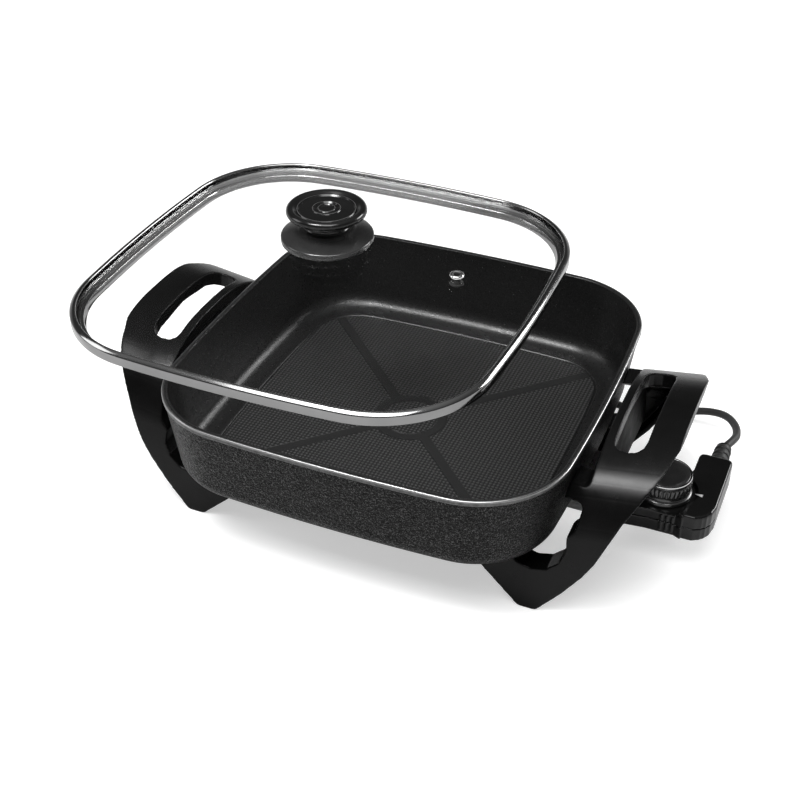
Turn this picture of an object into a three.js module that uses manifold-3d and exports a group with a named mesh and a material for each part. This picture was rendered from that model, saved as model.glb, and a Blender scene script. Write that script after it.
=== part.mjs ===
// Electric skillet: a square cast pan held by two moulded brackets, a glass lid lifted off the
// pan, and a plug-in temperature controller with its cord.
// Millimetres, +Z up. The pan is modelled round x = y = 0 above a floor at z = 0, and +X points
// to the socket side. The last lines move it all so that its box stands centred on the origin.

import * as THREE from 'three';
import { mergeVertices } from 'three/addons/utils/BufferGeometryUtils.js';
import Module from 'manifold-3d';

const wasm = await Module();
wasm.setup();

// Clearance between pieces, and how far a cutter runs past what it cuts
const GAP = 0.3;
const OVERRUN = 5;

// Pan
const PAN_HALF = 160;
const PAN_CORNER = 72.4;
const PAN_BOW = 7.7;
const PAN_DEPTH = 71;
const PAN_WALL = 3.4;
const PAN_FLOOR = 5;
const PAN_DRAFT = 7.8;
const PAN_OUTER_FILLET = 16.6;
const PAN_INNER_FILLET = 15;
const RIM_HEIGHT = 124;
const RIM_BEAD = 4.2;
const RIM_PROUD = 1.1;
const RIM_ROUND = 0.9;
const FIELD_INSET = 30;
const FIELD_GROOVE_WIDTH = 2.4;
const FIELD_GROOVE_DEPTH = 0.8;
const FIELD_BAND_WIDTH = 11;
const FIELD_BAND_DEPTH = 0.5;
const FIELD_RING_RADIUS = 26;
const FIELD_RING_WIDTH = 8;

// Heating element pressed into a ridge under the pan, its terminals and the probe's socket
const RIDGE_WIDTH = 15;
const RIDGE_DEPTH = 8;
const ELEMENT_RADIUS = 4;
const ELEMENT_INSET = 72;
const ELEMENT_HALF_SPAN = 70;
const ELEMENT_CORNER = 30;
const ELEMENT_BEND = 11;
const ELEMENT_END_INSET = 42;
const PIN_RADIUS = 2.4;
const PIN_LENGTH = 42;
const PIN_HALF_PITCH = 13;
const PROBE_RADIUS = 3.2;
const PROBE_TIP_INSET = 76;
const SOCKET_START_INSET = 90;
const SOCKET_END_INSET = 56;
const SOCKET_WALL = 3.4;

// Terminal guard
const GUARD_WALL = 1.6;
const GUARD_TAB_INSET = 53;
const GUARD_INSET = 39;
const GUARD_PROUD = 12;
const GUARD_SCREW_INSET = 47;
const GUARD_SCREW_Y = 18;

// Brackets: each is a handle and two legs in one hollow moulding
const HANDLE_GAP = 9;
const HANDLE_WIDTH = 54.5;
const CROWN_ABOVE_RIM = 9.5;
const BRACKET_SHIFT_Y = -5;
const BRACKET_HALF_SPAN = 106;
const BRACKET_SKIN = 4.8;
const BRACKET_SIDE = 3.8;
const BRACKET_EASE = 4;
const ARM_DROP = 6;
const ARM_INSET = 80;
const LEG_WINDOW_RADIUS = 24.2;
const LEG_WINDOW_INSET = 22;
const LEG_WINDOW_DROP = 63;
const SLOT_LENGTH = 104;
const SLOT_WIDTH = 22;
const SLOT_INSET = 7;
const SLOT_COLLAR = 3.4;
const BOSS_RADIUS = 8;
const BOSS_INSET = 63;
const BOSS_Y = 95;
const SCREW_POST_RADIUS = 6;

// Machine screws
const SCREW_RADIUS = 2;
const SCREW_HEAD_RADIUS = 4;
const SCREW_HEAD_HEIGHT = 2.8;
const SCREW_BITE = 8;
const GUARD_SCREW_BITE = 2.6;

// Lid: where it is held, its ring and its glass. Heights count from the ring's seat
const LID_SHIFT_X = -52.5;
const LID_SHIFT_Y = -30.2;
const LID_LIFT = 64.5;
const LID_CORNER = 83;
const LID_BOW = 11;
const RING_HEIGHT = 9;
const RING_LIP = 4.6;
const RING_FLANGE = 8.5;
const RING_SHEET = 0.8;
const RING_SKIRT = 4.4;
const RING_TAPER = 1.2;
const RING_ROUND = 0.8;
const GLASS_THICKNESS = 3.6;
const DOME_RISE = 29;
const DOME_POWER_SHARE = 2.6;

// Lid knob and vent
const KNOB_BASE_RADIUS = 33.6;
const KNOB_BASE_RIM = 4.7;
const KNOB_BASE_SHOULDER = 8.8;
const KNOB_BASE_SHOULDER_RADIUS = 21;
const KNOB_BASE_HEIGHT = 10.6;
const KNOB_BASE_WALL = 2.4;
const KNOB_POST_RADIUS = 8;
const KNOB_NECK_RADIUS = 16;
const KNOB_DISC_RADIUS = 29;
const KNOB_HEIGHT = 26.6;
const KNOB_RIM_ROUND = 2.6;
const KNOB_DISH = 2.4;
const KNOB_STEP = 0.7;
const KNOB_SCREW_RADIUS = 2.5;
const KNOB_SCREW_HEAD = 6;
const KNOB_SCREW_END = 20;
const WASHER_RADIUS = 9;
const WASHER_THICKNESS = 1.6;
const VENT_OFFSET = 100;
const VENT_RADIUS = 5.2;
const VENT_BORE_RADIUS = 1.8;
const VENT_NECK_RADIUS = 3.4;
const VENT_HEAD = 1.8;

// Temperature controller
const BODY_HEIGHT = 23;
const BODY_TOP_DROP = 72;
const BODY_CLEAR = 18;
const BODY_LENGTH = 70.5;
const BODY_FRONT = 27.5;
const BODY_BACK = 28;
const BODY_CORNER = 30;
const BODY_GRIP_INSET = 22;
const BODY_GRIP_FAR_INSET = 44;
const BODY_GRIP_DEPTH = 2.5;
const NECK_END = 54;
const NECK_WIDTH = 26;
const NECK_CORNER = 5;
const BODY_ROUND = 1.8;
const BODY_WALL = 2.2;
const NOSE_INSET = 22;
const NOSE_HALF_WIDTH = 22;
const NOSE_HEIGHT = 18;
const NOSE_ROUND = 1.2;
const GRIP_RIB_WIDTH = 1.4;
const GRIP_RIB_PITCH = 4.2;
const GRIP_RIB_INSET = 38;
const GRIP_RIB_PROUD = 0.9;
const CONTACT_HALF = 4;
const CONTACT_INSET = 14;
const CONTACT_LENGTH = 26;
const THERMOSTAT_INSET = 4;
const THERMOSTAT_LENGTH = 34;
const THERMOSTAT_WIDTH = 9;
const THERMOSTAT_BLADE = 1;
const THERMOSTAT_BLOCK = 9;
const CASE_POST_RADIUS = 4;
const CASE_SCREW_RADIUS = 1.6;
const CASE_SCREW_HEAD = 3;
const CASE_SCREW_HEAD_HEIGHT = 2;
const CASE_SCREW_INSETS = [6, 8.5];
const CASE_SCREW_REACHES = [20.5, 8];

// Dial
const DIAL_INSET = 29.5;
const DIAL_RADIUS = 19;
const DIAL_TOP_DROP = 57;
const DIAL_WELL_RADIUS = 24.5;
const DIAL_WELL_DEPTH = 3.4;
const DIAL_WELL_MOUTH_INSET = 24.5;
const DIAL_FLANGE_RADIUS = 20.4;
const DIAL_FLANGE = 3;
const DIAL_KNURL = 8.4;
const DIAL_TEETH = 36;
const DIAL_TOOTH = 0.9;
const DIAL_RING_WIDTH = 1.4;
const DIAL_RING_HEIGHT = 1.2;
const DIAL_WALL = 2.6;
const DIAL_HUB_RADIUS = 6;
const SHAFT_RADIUS = 3;
const SHAFT_BITE = 12;

// Cord, strain relief and plug
const CORD_RADIUS = 3.2;
const CORD_INSET = 11.9;
const CORD_START = 47.5;
const CORD_LIFT = 0.1;
const RELIEF_LENGTH = 27;
const RELIEF_ROOT_RADIUS = 7.4;
const RELIEF_TIP_RADIUS = 6.4;
const RELIEF_COLLAR_RADIUS = 8.2;
const RELIEF_COLLAR = 1.8;
const RELIEF_GROOVE = 0.9;
const RELIEF_RIBS = 4;
const COIL_REACH = 176.6;
const COIL_Y = 220;
const COIL_RADIUS = 39;
const COIL_PITCH = 7.4;
const COIL_RISE = 7.4;
const COIL_LAYER_TURNS = 0.75;
const COIL_TAIL = 34;
const PLUG_HALF_WIDTH = 12.5;
const PLUG_HALF_HEIGHT = 8.6;
const PLUG_LENGTH = 27;
const PLUG_ROUND = 3;
const PLUG_NECK_LENGTH = 14;
const PLUG_NECK_RADIUS = 5.6;
const PLUG_CORD_BITE = 3;
const BLADE_WIDTH = 6.3;
const BLADE_THICKNESS = 1.5;
const BLADE_LENGTH = 17;
const BLADE_BITE = 6;
const BLADE_HALF_PITCH = 6.35;
const BLADE_HOLE_RADIUS = 1.5;

// Facets
const SIDE_STEPS = 4;
const CORNER_STEPS = 8;
const FILLET_STEPS = 4;
const EDGE_STEPS = 2;
const CURVE_STEPS = 3;
const ROUND_STEPS = 32;
const SMALL_STEPS = 16;
const TINY_STEPS = 12;
const DOME_STEPS = 6;
const ELEMENT_ARC_STEPS = 6;
const ELEMENT_SIDES = 8;
const COIL_LOOP_STEPS = 24;
const COIL_SIDES = 6;
const CORD_SIDES = 8;
const CORD_STEPS = 34;
const LEAST_TURN = 0.5;

// Levels and places that several pieces share
const PAN_BOTTOM = RIM_HEIGHT - PAN_DEPTH;
const FLOOR_TOP = PAN_BOTTOM + PAN_FLOOR;
const ELEMENT_REACH = PAN_HALF - ELEMENT_INSET;
const ELEMENT_END = PAN_HALF - ELEMENT_END_INSET;
const PROBE_TIP = PAN_HALF - PROBE_TIP_INSET;
const SOCKET_START = PAN_HALF - SOCKET_START_INSET;
const SOCKET_END = PAN_HALF - SOCKET_END_INSET;
const GUARD_TAB_START = PAN_HALF - GUARD_TAB_INSET;
const GUARD_START = PAN_HALF - GUARD_INSET;
const GUARD_SCREW_X = PAN_HALF - GUARD_SCREW_INSET;
const NOSE_START = PAN_HALF - NOSE_INSET;
const CONTACT_START = PAN_HALF - CONTACT_INSET;
const GUARD_END = PAN_HALF + GUARD_PROUD;
const BODY_START = PAN_HALF + BODY_CLEAR;
const BODY_GRIP_START = BODY_START + BODY_GRIP_INSET;
const BODY_GRIP_END = BODY_START + BODY_GRIP_FAR_INSET;
const GRIP_RIB_X = BODY_START + GRIP_RIB_INSET;
const THERMOSTAT_START = BODY_START + THERMOSTAT_INSET;
const BODY_END = BODY_START + BODY_LENGTH;
const BODY_TOP = RIM_HEIGHT - BODY_TOP_DROP;
const BODY_BOTTOM = BODY_TOP - BODY_HEIGHT;
const BODY_MIDDLE = (BODY_TOP + BODY_BOTTOM) / 2;
const WELL_FLOOR = BODY_TOP - DIAL_WELL_DEPTH;
const CASE_SCREW_PLACES = [
  [BODY_START + CASE_SCREW_INSETS[0], CASE_SCREW_REACHES[0]],
  [BODY_END - CASE_SCREW_INSETS[1], CASE_SCREW_REACHES[1]],
];
const DIAL_X = BODY_START + DIAL_INSET;
const DIAL_TOP = RIM_HEIGHT - DIAL_TOP_DROP;
const DIAL_BOTTOM = WELL_FLOOR + GAP;
const DIAL_WELL_MOUTH = BODY_END - DIAL_WELL_MOUTH_INSET;
const CORD_X = BODY_END - CORD_INSET;
const COIL_X = CORD_X - COIL_REACH;
const ARM_TOP = PAN_BOTTOM - ARM_DROP;
const CROWN = RIM_HEIGHT + CROWN_ABOVE_RIM;
const ARM_REACH = PAN_HALF - ARM_INSET;
const BOSS_X = PAN_HALF - BOSS_INSET;
const LEG_WINDOW_X = PAN_HALF - LEG_WINDOW_INSET;
const BRACKET_REACH = PAN_HALF + HANDLE_GAP + HANDLE_WIDTH;
const HANDLE_START = PAN_HALF + HANDLE_GAP;
const LID_SEAT = RIM_HEIGHT + GAP + LID_LIFT;
const HALF_TURN = Math.PI;
const QUARTER_TURN = Math.PI / 2;

// Materials
const finish = (color, roughness, metalness) =>
  new THREE.MeshStandardMaterial({ color, roughness, metalness });
const castBlack = finish(0x1c1c1d, 0.55, 0.2);
const glossBlack = finish(0x0b0b0c, 0.2, 0);
const mattBlack = finish(0x121213, 0.6, 0);
const steel = finish(0xb8b8b8, 0.25, 1);
const darkSteel = finish(0x6a6a6c, 0.45, 1);
const brass = finish(0xb89b55, 0.35, 1);
const ceramic = finish(0xd9d4c8, 0.7, 0);
const rubber = finish(0x161617, 0.8, 0);
const glass = new THREE.MeshStandardMaterial({
  color: 0xdfe6ea, roughness: 0.05, metalness: 0, transparent: true, opacity: 0.25,
});

const skillet = new THREE.Group();
skillet.name = 'skillet_group';
const lid = new THREE.Group();
lid.name = 'lid_group';
lid.position.set(LID_SHIFT_X, LID_SHIFT_Y, LID_SEAT);
const controller = new THREE.Group();
controller.name = 'controller_group';

function place(name, body, material, parent) {
  const mesh = new THREE.Mesh(geometryOf(body), material.clone());
  mesh.name = name;
  parent.add(mesh);
  return mesh;
}

// Closed geometry as a solid that can be joined and cut, and the way back
function solid(geometry) {
  const bare = geometry.clone();
  bare.deleteAttribute('normal');
  bare.deleteAttribute('uv');
  const merged = mergeVertices(bare);
  const all = merged.index.array;
  const kept = [];
  for (let i = 0; i < all.length; i += 3) {
    const [a, b, c] = [all[i], all[i + 1], all[i + 2]];
    if (a !== b && b !== c && c !== a) kept.push(a, b, c);
  }
  return new wasm.Manifold(new wasm.Mesh({
    numProp: 3,
    vertProperties: Float32Array.from(merged.attributes.position.array),
    triVerts: Uint32Array.from(kept),
  }));
}

function geometryOf(body) {
  const mesh = body.getMesh();
  const geometry = new THREE.BufferGeometry();
  geometry.setAttribute('position', new THREE.BufferAttribute(mesh.vertProperties, 3));
  geometry.setIndex(new THREE.BufferAttribute(mesh.triVerts, 1));
  geometry.computeVertexNormals();
  return geometry;
}

const joined = (...bodies) => bodies.reduce((all, next) => all.add(next));
const cut = (body, ...cutters) => cutters.reduce((rest, next) => rest.subtract(next), body);

// Skin between rings of points that follow each other, all with the same count
function skin(rings, closed) {
  const count = rings[0].length;
  const positions = rings.flat().flatMap((p) => [p.x, p.y, p.z]);
  const index = [];
  const spans = closed ? rings.length : rings.length - 1;
  for (let k = 0; k < spans; k += 1) {
    const next = (k + 1) % rings.length;
    for (let i = 0; i < count; i += 1) {
      const j = (i + 1) % count;
      index.push(k * count + i, k * count + j, next * count + i);
      index.push(k * count + j, next * count + j, next * count + i);
    }
  }
  return { count, positions, index };
}

function meshOf({ positions, index }) {
  const geometry = new THREE.BufferGeometry();
  geometry.setAttribute('position', new THREE.Float32BufferAttribute(positions, 3));
  geometry.setIndex(index);
  return geometry;
}

// A body from stacked rings, capped at both ends. Rings run anticlockwise seen from above
function loft(rings) {
  const made = skin(rings, false);
  const cap = (ring, offset, faceDown) => {
    const flat = ring.map((p) => new THREE.Vector2(p.x, p.y));
    for (const [a, b, c] of THREE.ShapeUtils.triangulateShape(flat, [])) {
      made.index.push(offset + a, offset + (faceDown ? c : b), offset + (faceDown ? b : c));
    }
  };
  cap(rings[0], 0, true);
  cap(rings[rings.length - 1], (rings.length - 1) * made.count, false);
  return solid(meshOf(made));
}

// A body that closes on itself: its rings go up the outside and down the inside
const hoop = (rings) => solid(meshOf(skin(rings, true)));

// A square with bowed sides and round corners, drawn in by inset, at one height
function bowedSquare(half, corner, bow, inset, z) {
  const sideRadius = (half * half) / (2 * bow) + bow / 2;
  const back = sideRadius - half;
  const reach = sideRadius - corner;
  const c = (Math.sqrt(2 * reach * reach - back * back) - back) / 2;
  const turn = Math.atan2(c, c + back);
  const axis = new THREE.Vector3(0, 0, 1);
  const points = [];
  const add = (cx, cy, radius, t, quarter) => {
    const p = new THREE.Vector3(cx + radius * Math.cos(t), cy + radius * Math.sin(t), z);
    points.push(p.applyAxisAngle(axis, quarter * QUARTER_TURN));
  };
  for (let quarter = 0; quarter < 4; quarter += 1) {
    for (let k = 0; k < SIDE_STEPS; k += 1) {
      add(-back, 0, sideRadius - inset, turn * ((2 * k) / SIDE_STEPS - 1), quarter);
    }
    for (let k = 0; k < CORNER_STEPS; k += 1) {
      const t = turn + (QUARTER_TURN - 2 * turn) * (k / CORNER_STEPS);
      add(c, c, corner - inset, t, quarter);
    }
  }
  return points;
}

const panRing = (inset, z) => bowedSquare(PAN_HALF, PAN_CORNER, PAN_BOW, inset, z);
const lidRing = (inset, z) => bowedSquare(PAN_HALF, LID_CORNER, LID_BOW, inset, z);

// Prisms: an outline in XY, XZ or YZ pushed along the third axis
function extruded(points, low, high) {
  const apart = points.filter(([x, y], i) => {
    const [px, py] = points[(i + points.length - 1) % points.length];
    return Math.hypot(x - px, y - py) > GAP / points.length;
  });
  const shape = new THREE.Shape(apart.map(([x, y]) => new THREE.Vector2(x, y)));
  const geometry = new THREE.ExtrudeGeometry(shape, { depth: high - low, bevelEnabled: false });
  return geometry.translate(0, 0, low);
}

const prismZ = (points, low, high) => solid(extruded(points, low, high));
const prismY = (points, low, high) =>
  solid(extruded(points.map(([x, z]) => [x, -z]), low, high).rotateX(-QUARTER_TURN));
const prismX = (points, low, high) =>
  solid(extruded(points.map(([y, z]) => [-z, y]), low, high).rotateY(QUARTER_TURN));
const block = (x0, x1, y0, y1, z0, z1) =>
  prismZ([[x0, y0], [x1, y0], [x1, y1], [x0, y1]], z0, z1);

function lathed(profile, steps) {
  const points = profile.map(([r, z]) => new THREE.Vector2(r, z));
  return new THREE.LatheGeometry(points, steps).rotateX(QUARTER_TURN);
}

const turned = (profile, steps = ROUND_STEPS) => solid(lathed(profile, steps));
const turnedRing = (profile, steps = ROUND_STEPS) =>
  solid(lathed([...profile, profile[0]], steps));
const rod = (x, y, radius, z0, z1, steps = SMALL_STEPS) =>
  solid(lathed([[0, z0], [radius, z0], [radius, z1], [0, z1]], steps).translate(x, y, 0));
const rodX = (y, z, radius, x0, x1, steps = SMALL_STEPS) =>
  solid(lathed([[0, x0], [radius, x0], [radius, x1], [0, x1]], steps)
    .rotateY(QUARTER_TURN).translate(0, y, z));

function arc(cx, cy, radius, from, to, steps) {
  const points = [];
  for (let k = 0; k <= steps; k += 1) {
    const t = from + ((to - from) * k) / steps;
    points.push([cx + radius * Math.cos(t), cy + radius * Math.sin(t)]);
  }
  return points;
}

// An outline that runs anticlockwise, drawn in along its own edges
function insetOutline(points, inset) {
  const count = points.length;
  const edges = points.map(([x, y], i) => {
    const [nx, ny] = points[(i + 1) % count];
    const length = Math.hypot(nx - x, ny - y);
    const dx = (nx - x) / length;
    const dy = (ny - y) / length;
    return { x: x - dy * inset, y: y + dx * inset, dx, dy };
  });
  return edges.map((edge, i) => {
    const before = edges[(i + count - 1) % count];
    const cross = before.dx * edge.dy - before.dy * edge.dx;
    if (Math.abs(cross) < Math.sqrt(Number.EPSILON)) return [edge.x, edge.y];
    const t = ((edge.x - before.x) * edge.dy - (edge.y - before.y) * edge.dx) / cross;
    return [before.x + before.dx * t, before.y + before.dy * t];
  });
}

// An outline with each clear corner eased by its own radius, held to half of the shorter edge
function eased(points, radii) {
  const count = points.length;
  return points.flatMap(([x, y], i) => {
    const radius = radii[i];
    const towards = [points[(i + count - 1) % count], points[(i + 1) % count]].map(([px, py]) => {
      const length = Math.hypot(px - x, py - y);
      return { length, dx: (px - x) / length, dy: (py - y) / length };
    });
    const [a, b] = towards;
    const opening = Math.acos(Math.max(-1, Math.min(1, a.dx * b.dx + a.dy * b.dy)));
    if (!radius || HALF_TURN - opening < LEAST_TURN) return [[x, y]];
    const reach = Math.min(radius / Math.tan(opening / 2), a.length / 2, b.length / 2);
    const rounded = [];
    for (let k = 0; k <= CURVE_STEPS; k += 1) {
      const t = k / CURVE_STEPS;
      const before = (1 - t) * (1 - t) * reach;
      const after = t * t * reach;
      rounded.push([x + a.dx * before + b.dx * after, y + a.dy * before + b.dy * after]);
    }
    return rounded;
  });
}

// A prism whose lower and upper edges are rounded. outline gives the points for an inset
function pillow(outline, low, high, lowRound, highRound) {
  const rings = [];
  const ring = (inset, z) => rings.push(outline(inset).map(([x, y]) => new THREE.Vector3(x, y, z)));
  for (let k = 0; k <= (lowRound ? EDGE_STEPS : 0); k += 1) {
    const t = (QUARTER_TURN * k) / EDGE_STEPS;
    ring(lowRound * (1 - Math.sin(t)), low + lowRound * (1 - Math.cos(t)));
  }
  for (let k = 0; k <= (highRound ? EDGE_STEPS : 0); k += 1) {
    const t = (QUARTER_TURN * k) / EDGE_STEPS;
    const flat = highRound ? highRound * (1 - Math.cos(t)) : 0;
    ring(flat, high - highRound * (1 - Math.sin(t)));
  }
  return loft(rings);
}

// A tube along a curve
function tube(curve, radius, sides, steps) {
  const outline = arc(0, 0, radius, 0, 2 * HALF_TURN, sides).slice(0, sides);
  const shape = new THREE.Shape(outline.map(([x, y]) => new THREE.Vector2(x, y)));
  return solid(new THREE.ExtrudeGeometry(shape, { steps, extrudePath: curve }));
}

// A smooth curve whose even parameter steps fall on its own points
class KeyedCurve extends THREE.CatmullRomCurve3 {
  getPointAt(share, target) {
    return this.getPoint(share, target);
  }

  getTangentAt(share, target) {
    return this.getTangent(share, target);
  }
}

const smoothCurve = (points) =>
  new THREE.CatmullRomCurve3(points.map((p) => new THREE.Vector3(...p)), false, 'centripetal');

// Headed screws, drawn head down
function screw(x, y, seat, shank, head, headHeight, length, steps) {
  return turned([
    [0, seat - headHeight], [head - shank / 2, seat - headHeight],
    [head, seat - headHeight / 2], [head, seat],
    [shank, seat], [shank, seat + length], [0, seat + length],
  ], steps).translate([x, y, 0]);
}

// Pan: outer wall, beaded rim and inner wall as one closed shell
function panShell() {
  const rings = [];
  for (let k = 0; k <= FILLET_STEPS; k += 1) {
    const t = (QUARTER_TURN * k) / FILLET_STEPS;
    const inset = PAN_DRAFT + PAN_OUTER_FILLET * (1 - Math.sin(t));
    rings.push(panRing(inset, PAN_BOTTOM + PAN_OUTER_FILLET * (1 - Math.cos(t))));
  }
  const rimInner = RIM_PROUD + PAN_WALL;
  rings.push(panRing(RIM_PROUD, RIM_HEIGHT - RIM_BEAD));
  rings.push(panRing(0, RIM_HEIGHT - RIM_BEAD + RIM_ROUND));
  rings.push(panRing(0, RIM_HEIGHT - RIM_ROUND));
  rings.push(panRing(RIM_ROUND, RIM_HEIGHT));
  rings.push(panRing(rimInner, RIM_HEIGHT));
  const innerFoot = PAN_DRAFT + PAN_WALL;
  for (let k = 0; k <= FILLET_STEPS; k += 1) {
    const t = (QUARTER_TURN * k) / FILLET_STEPS;
    const inset = innerFoot + PAN_INNER_FILLET * (1 - Math.cos(t));
    rings.push(panRing(inset, FLOOR_TOP + PAN_INNER_FILLET * (1 - Math.sin(t))));
  }
  return loft(rings);
}

// The space that the pan takes up, with the clearance that its neighbours keep
function panEnvelope() {
  const rings = [];
  for (let k = 0; k <= FILLET_STEPS; k += 1) {
    const t = (QUARTER_TURN * k) / FILLET_STEPS;
    const inset = PAN_DRAFT + PAN_OUTER_FILLET * (1 - Math.sin(t)) - GAP;
    rings.push(panRing(inset, PAN_BOTTOM - GAP + PAN_OUTER_FILLET * (1 - Math.cos(t))));
  }
  rings.push(panRing(RIM_PROUD - GAP, RIM_HEIGHT - RIM_BEAD - GAP));
  rings.push(panRing(-GAP, RIM_HEIGHT - RIM_BEAD));
  rings.push(panRing(-GAP, RIM_HEIGHT + OVERRUN));
  return loft(rings);
}

// The smooth groove round the cooking field
function fieldGroove() {
  const low = FLOOR_TOP - FIELD_GROOVE_DEPTH;
  const high = FLOOR_TOP + OVERRUN;
  const inner = FIELD_INSET + FIELD_GROOVE_WIDTH;
  const places = [[FIELD_INSET, low], [FIELD_INSET, high], [inner, high], [inner, low]];
  return hoop(places.map(([inset, z]) => panRing(inset, z)));
}

// Shallow diagonal bands across the cooking field, and the ring where they meet
function fieldBands() {
  const low = FLOOR_TOP - FIELD_BAND_DEPTH;
  const high = FLOOR_TOP + OVERRUN;
  const half = FIELD_BAND_WIDTH / 2;
  const inner = FIELD_RING_RADIUS - FIELD_RING_WIDTH / 2;
  const outer = FIELD_RING_RADIUS + FIELD_RING_WIDTH / 2;
  const inset = FIELD_INSET + FIELD_GROOVE_WIDTH / 2;
  const arms = [-1, 1].map((side) =>
    block(-PAN_HALF, PAN_HALF, -half, half, low, high).rotate([0, 0, side * 45]));
  const field = loft([panRing(inset, low), panRing(inset, high)]);
  const hub = rod(0, 0, inner, low - OVERRUN, high + OVERRUN, ROUND_STEPS);
  const ring = turnedRing([[outer, low], [outer, high], [inner, high], [inner, low]]);
  return joined(cut(joined(...arms).intersect(field), hub), ring);
}

// Plan of the heating element: a horseshoe whose two ends leave towards the socket
const elementMouth = PIN_HALF_PITCH + ELEMENT_BEND;
const elementThroat = ELEMENT_REACH - 2 * ELEMENT_BEND;

function elementHalfPlan() {
  const lobe = ELEMENT_CORNER;
  const x = elementThroat + ELEMENT_BEND;
  return [
    ...arc(x, elementMouth, ELEMENT_BEND, -QUARTER_TURN, -HALF_TURN,
      ELEMENT_ARC_STEPS),
    ...arc(elementThroat - lobe, ELEMENT_HALF_SPAN - lobe, lobe, 0, QUARTER_TURN,
      ELEMENT_ARC_STEPS),
    ...arc(lobe - ELEMENT_REACH, ELEMENT_HALF_SPAN - lobe, lobe, QUARTER_TURN, HALF_TURN,
      ELEMENT_ARC_STEPS),
  ];
}

function elementPlan() {
  const half = elementHalfPlan();
  return [...half, ...half.map(([x, y]) => [x, -y]).reverse()];
}

// A band of even width along a plan, with square ends
function band(points, width) {
  const side = (sign) => points.map(([x, y], i) => {
    const [ax, ay] = points[Math.max(0, i - 1)];
    const [bx, by] = points[Math.min(points.length - 1, i + 1)];
    const length = Math.hypot(bx - ax, by - ay);
    const reach = (sign * width) / 2 / length;
    return [x - (by - ay) * reach, y + (bx - ax) * reach];
  });
  return [...side(1), ...side(-1).reverse()];
}

const elementLevel = PAN_BOTTOM + GAP - ELEMENT_RADIUS;
const elementRise = elementThroat + 2 * ELEMENT_BEND;

function elementBody() {
  const plan = elementPlan().map(([x, y]) => [x, y, elementLevel]);
  const low = BODY_MIDDLE;
  const foot = ELEMENT_END - ELEMENT_RADIUS;
  const halfway = (elementRise + foot) / 2;
  const lead = (y) => [
    [ELEMENT_END, y, low], [foot, y, low], [halfway, y, (low + elementLevel) / 2],
    [elementRise, y, elementLevel],
  ];
  const points = [...lead(PIN_HALF_PITCH), ...plan, ...lead(-PIN_HALF_PITCH).reverse()];
  const curve = new KeyedCurve(points.map((p) => new THREE.Vector3(...p)), false, 'centripetal');
  return tube(curve, ELEMENT_RADIUS, ELEMENT_SIDES, points.length - 1);
}

function bossPlaces() {
  return [[1, -1], [1, 1], [-1, -1], [-1, 1]]
    .map(([i, j]) => [i * BOSS_X, BRACKET_SHIFT_Y + j * BOSS_Y]);
}

const armSeat = ARM_TOP - BRACKET_SIDE;

function panBody() {
  const ridgeBottom = PAN_BOTTOM - RIDGE_DEPTH;
  const rooted = PAN_BOTTOM + PAN_FLOOR / 2;
  const straight = (y) => [[elementRise + OVERRUN, y]];
  const plan = [...straight(PIN_HALF_PITCH), ...elementPlan(), ...straight(-PIN_HALF_PITCH)];
  const channel = 2 * (ELEMENT_RADIUS + GAP);
  const bosses = bossPlaces().map(([x, y]) => rod(x, y, BOSS_RADIUS, ARM_TOP + GAP, rooted));
  const socketHalf = PROBE_RADIUS + SOCKET_WALL;
  const socket = block(SOCKET_START, SOCKET_END, -socketHalf, socketHalf,
    BODY_MIDDLE - socketHalf, rooted);
  const ridge = prismZ(band(plan, RIDGE_WIDTH), ridgeBottom, rooted);
  const body = joined(panShell(), ridge, socket, ...bosses);
  const bossBores = bossPlaces().map(([x, y]) =>
    rod(x, y, SCREW_RADIUS + GAP, armSeat, armSeat + SCREW_BITE + BRACKET_SIDE + GAP));
  const guardBores = [-1, 1].map((j) => rod(GUARD_SCREW_X, j * GUARD_SCREW_Y,
    SCREW_RADIUS + GAP, PAN_BOTTOM - OVERRUN, PAN_BOTTOM + GUARD_SCREW_BITE + GAP));
  return cut(
    body,
    fieldGroove(),
    fieldBands(),
    prismZ(band(plan, channel), ridgeBottom - OVERRUN, elementLevel + ELEMENT_RADIUS + GAP),
    rodX(0, BODY_MIDDLE, PROBE_RADIUS + GAP, PROBE_TIP - GAP, SOCKET_END + OVERRUN),
    ...bossBores,
    ...guardBores,
  );
}

// Terminal guard: a sheet sleeve round the pins, screwed under the pan
function guardBody() {
  const halfWidth = NOSE_HALF_WIDTH + GAP + GUARD_WALL;
  const inside = NOSE_HALF_WIDTH + GAP;
  const roof = PAN_BOTTOM - GAP;
  const ceiling = BODY_MIDDLE + NOSE_HEIGHT / 2 + 2 * GAP;
  const floor = BODY_MIDDLE - NOSE_HEIGHT / 2 - 2 * GAP;
  const sleeve = block(GUARD_START, GUARD_END, -halfWidth, halfWidth, floor - GUARD_WALL, roof);
  const hollow = block(GUARD_START - OVERRUN, GUARD_END + OVERRUN, -inside, inside, floor,
    ceiling);
  const tab = block(GUARD_TAB_START, GUARD_START + OVERRUN, -halfWidth, halfWidth,
    roof - GUARD_WALL, roof);
  const bores = [-1, 1].map((j) => rod(GUARD_SCREW_X, j * GUARD_SCREW_Y, SCREW_RADIUS + GAP,
    roof - GUARD_WALL - OVERRUN, roof + OVERRUN));
  return cut(joined(cut(sleeve, hollow), tab), ...bores);
}

// Brackets. Their outer edge seen from the front, from the handle down to the foot, as shares of
// the reach and of the crown's height
const BRACKET_EDGE_SHARES = [
  [1, 1.004], [0.96, 0.873], [0.917, 0.757], [0.881, 0.652], [0.85, 0.532], [0.819, 0.404],
  [0.787, 0.307], [0.725, 0.157], [0.648, 0],
];
// Foot and underside of the leg, in the same shares
const BRACKET_FOOT_SHARES = [[0.586, 0], [0.447, 0.21]];
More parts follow.
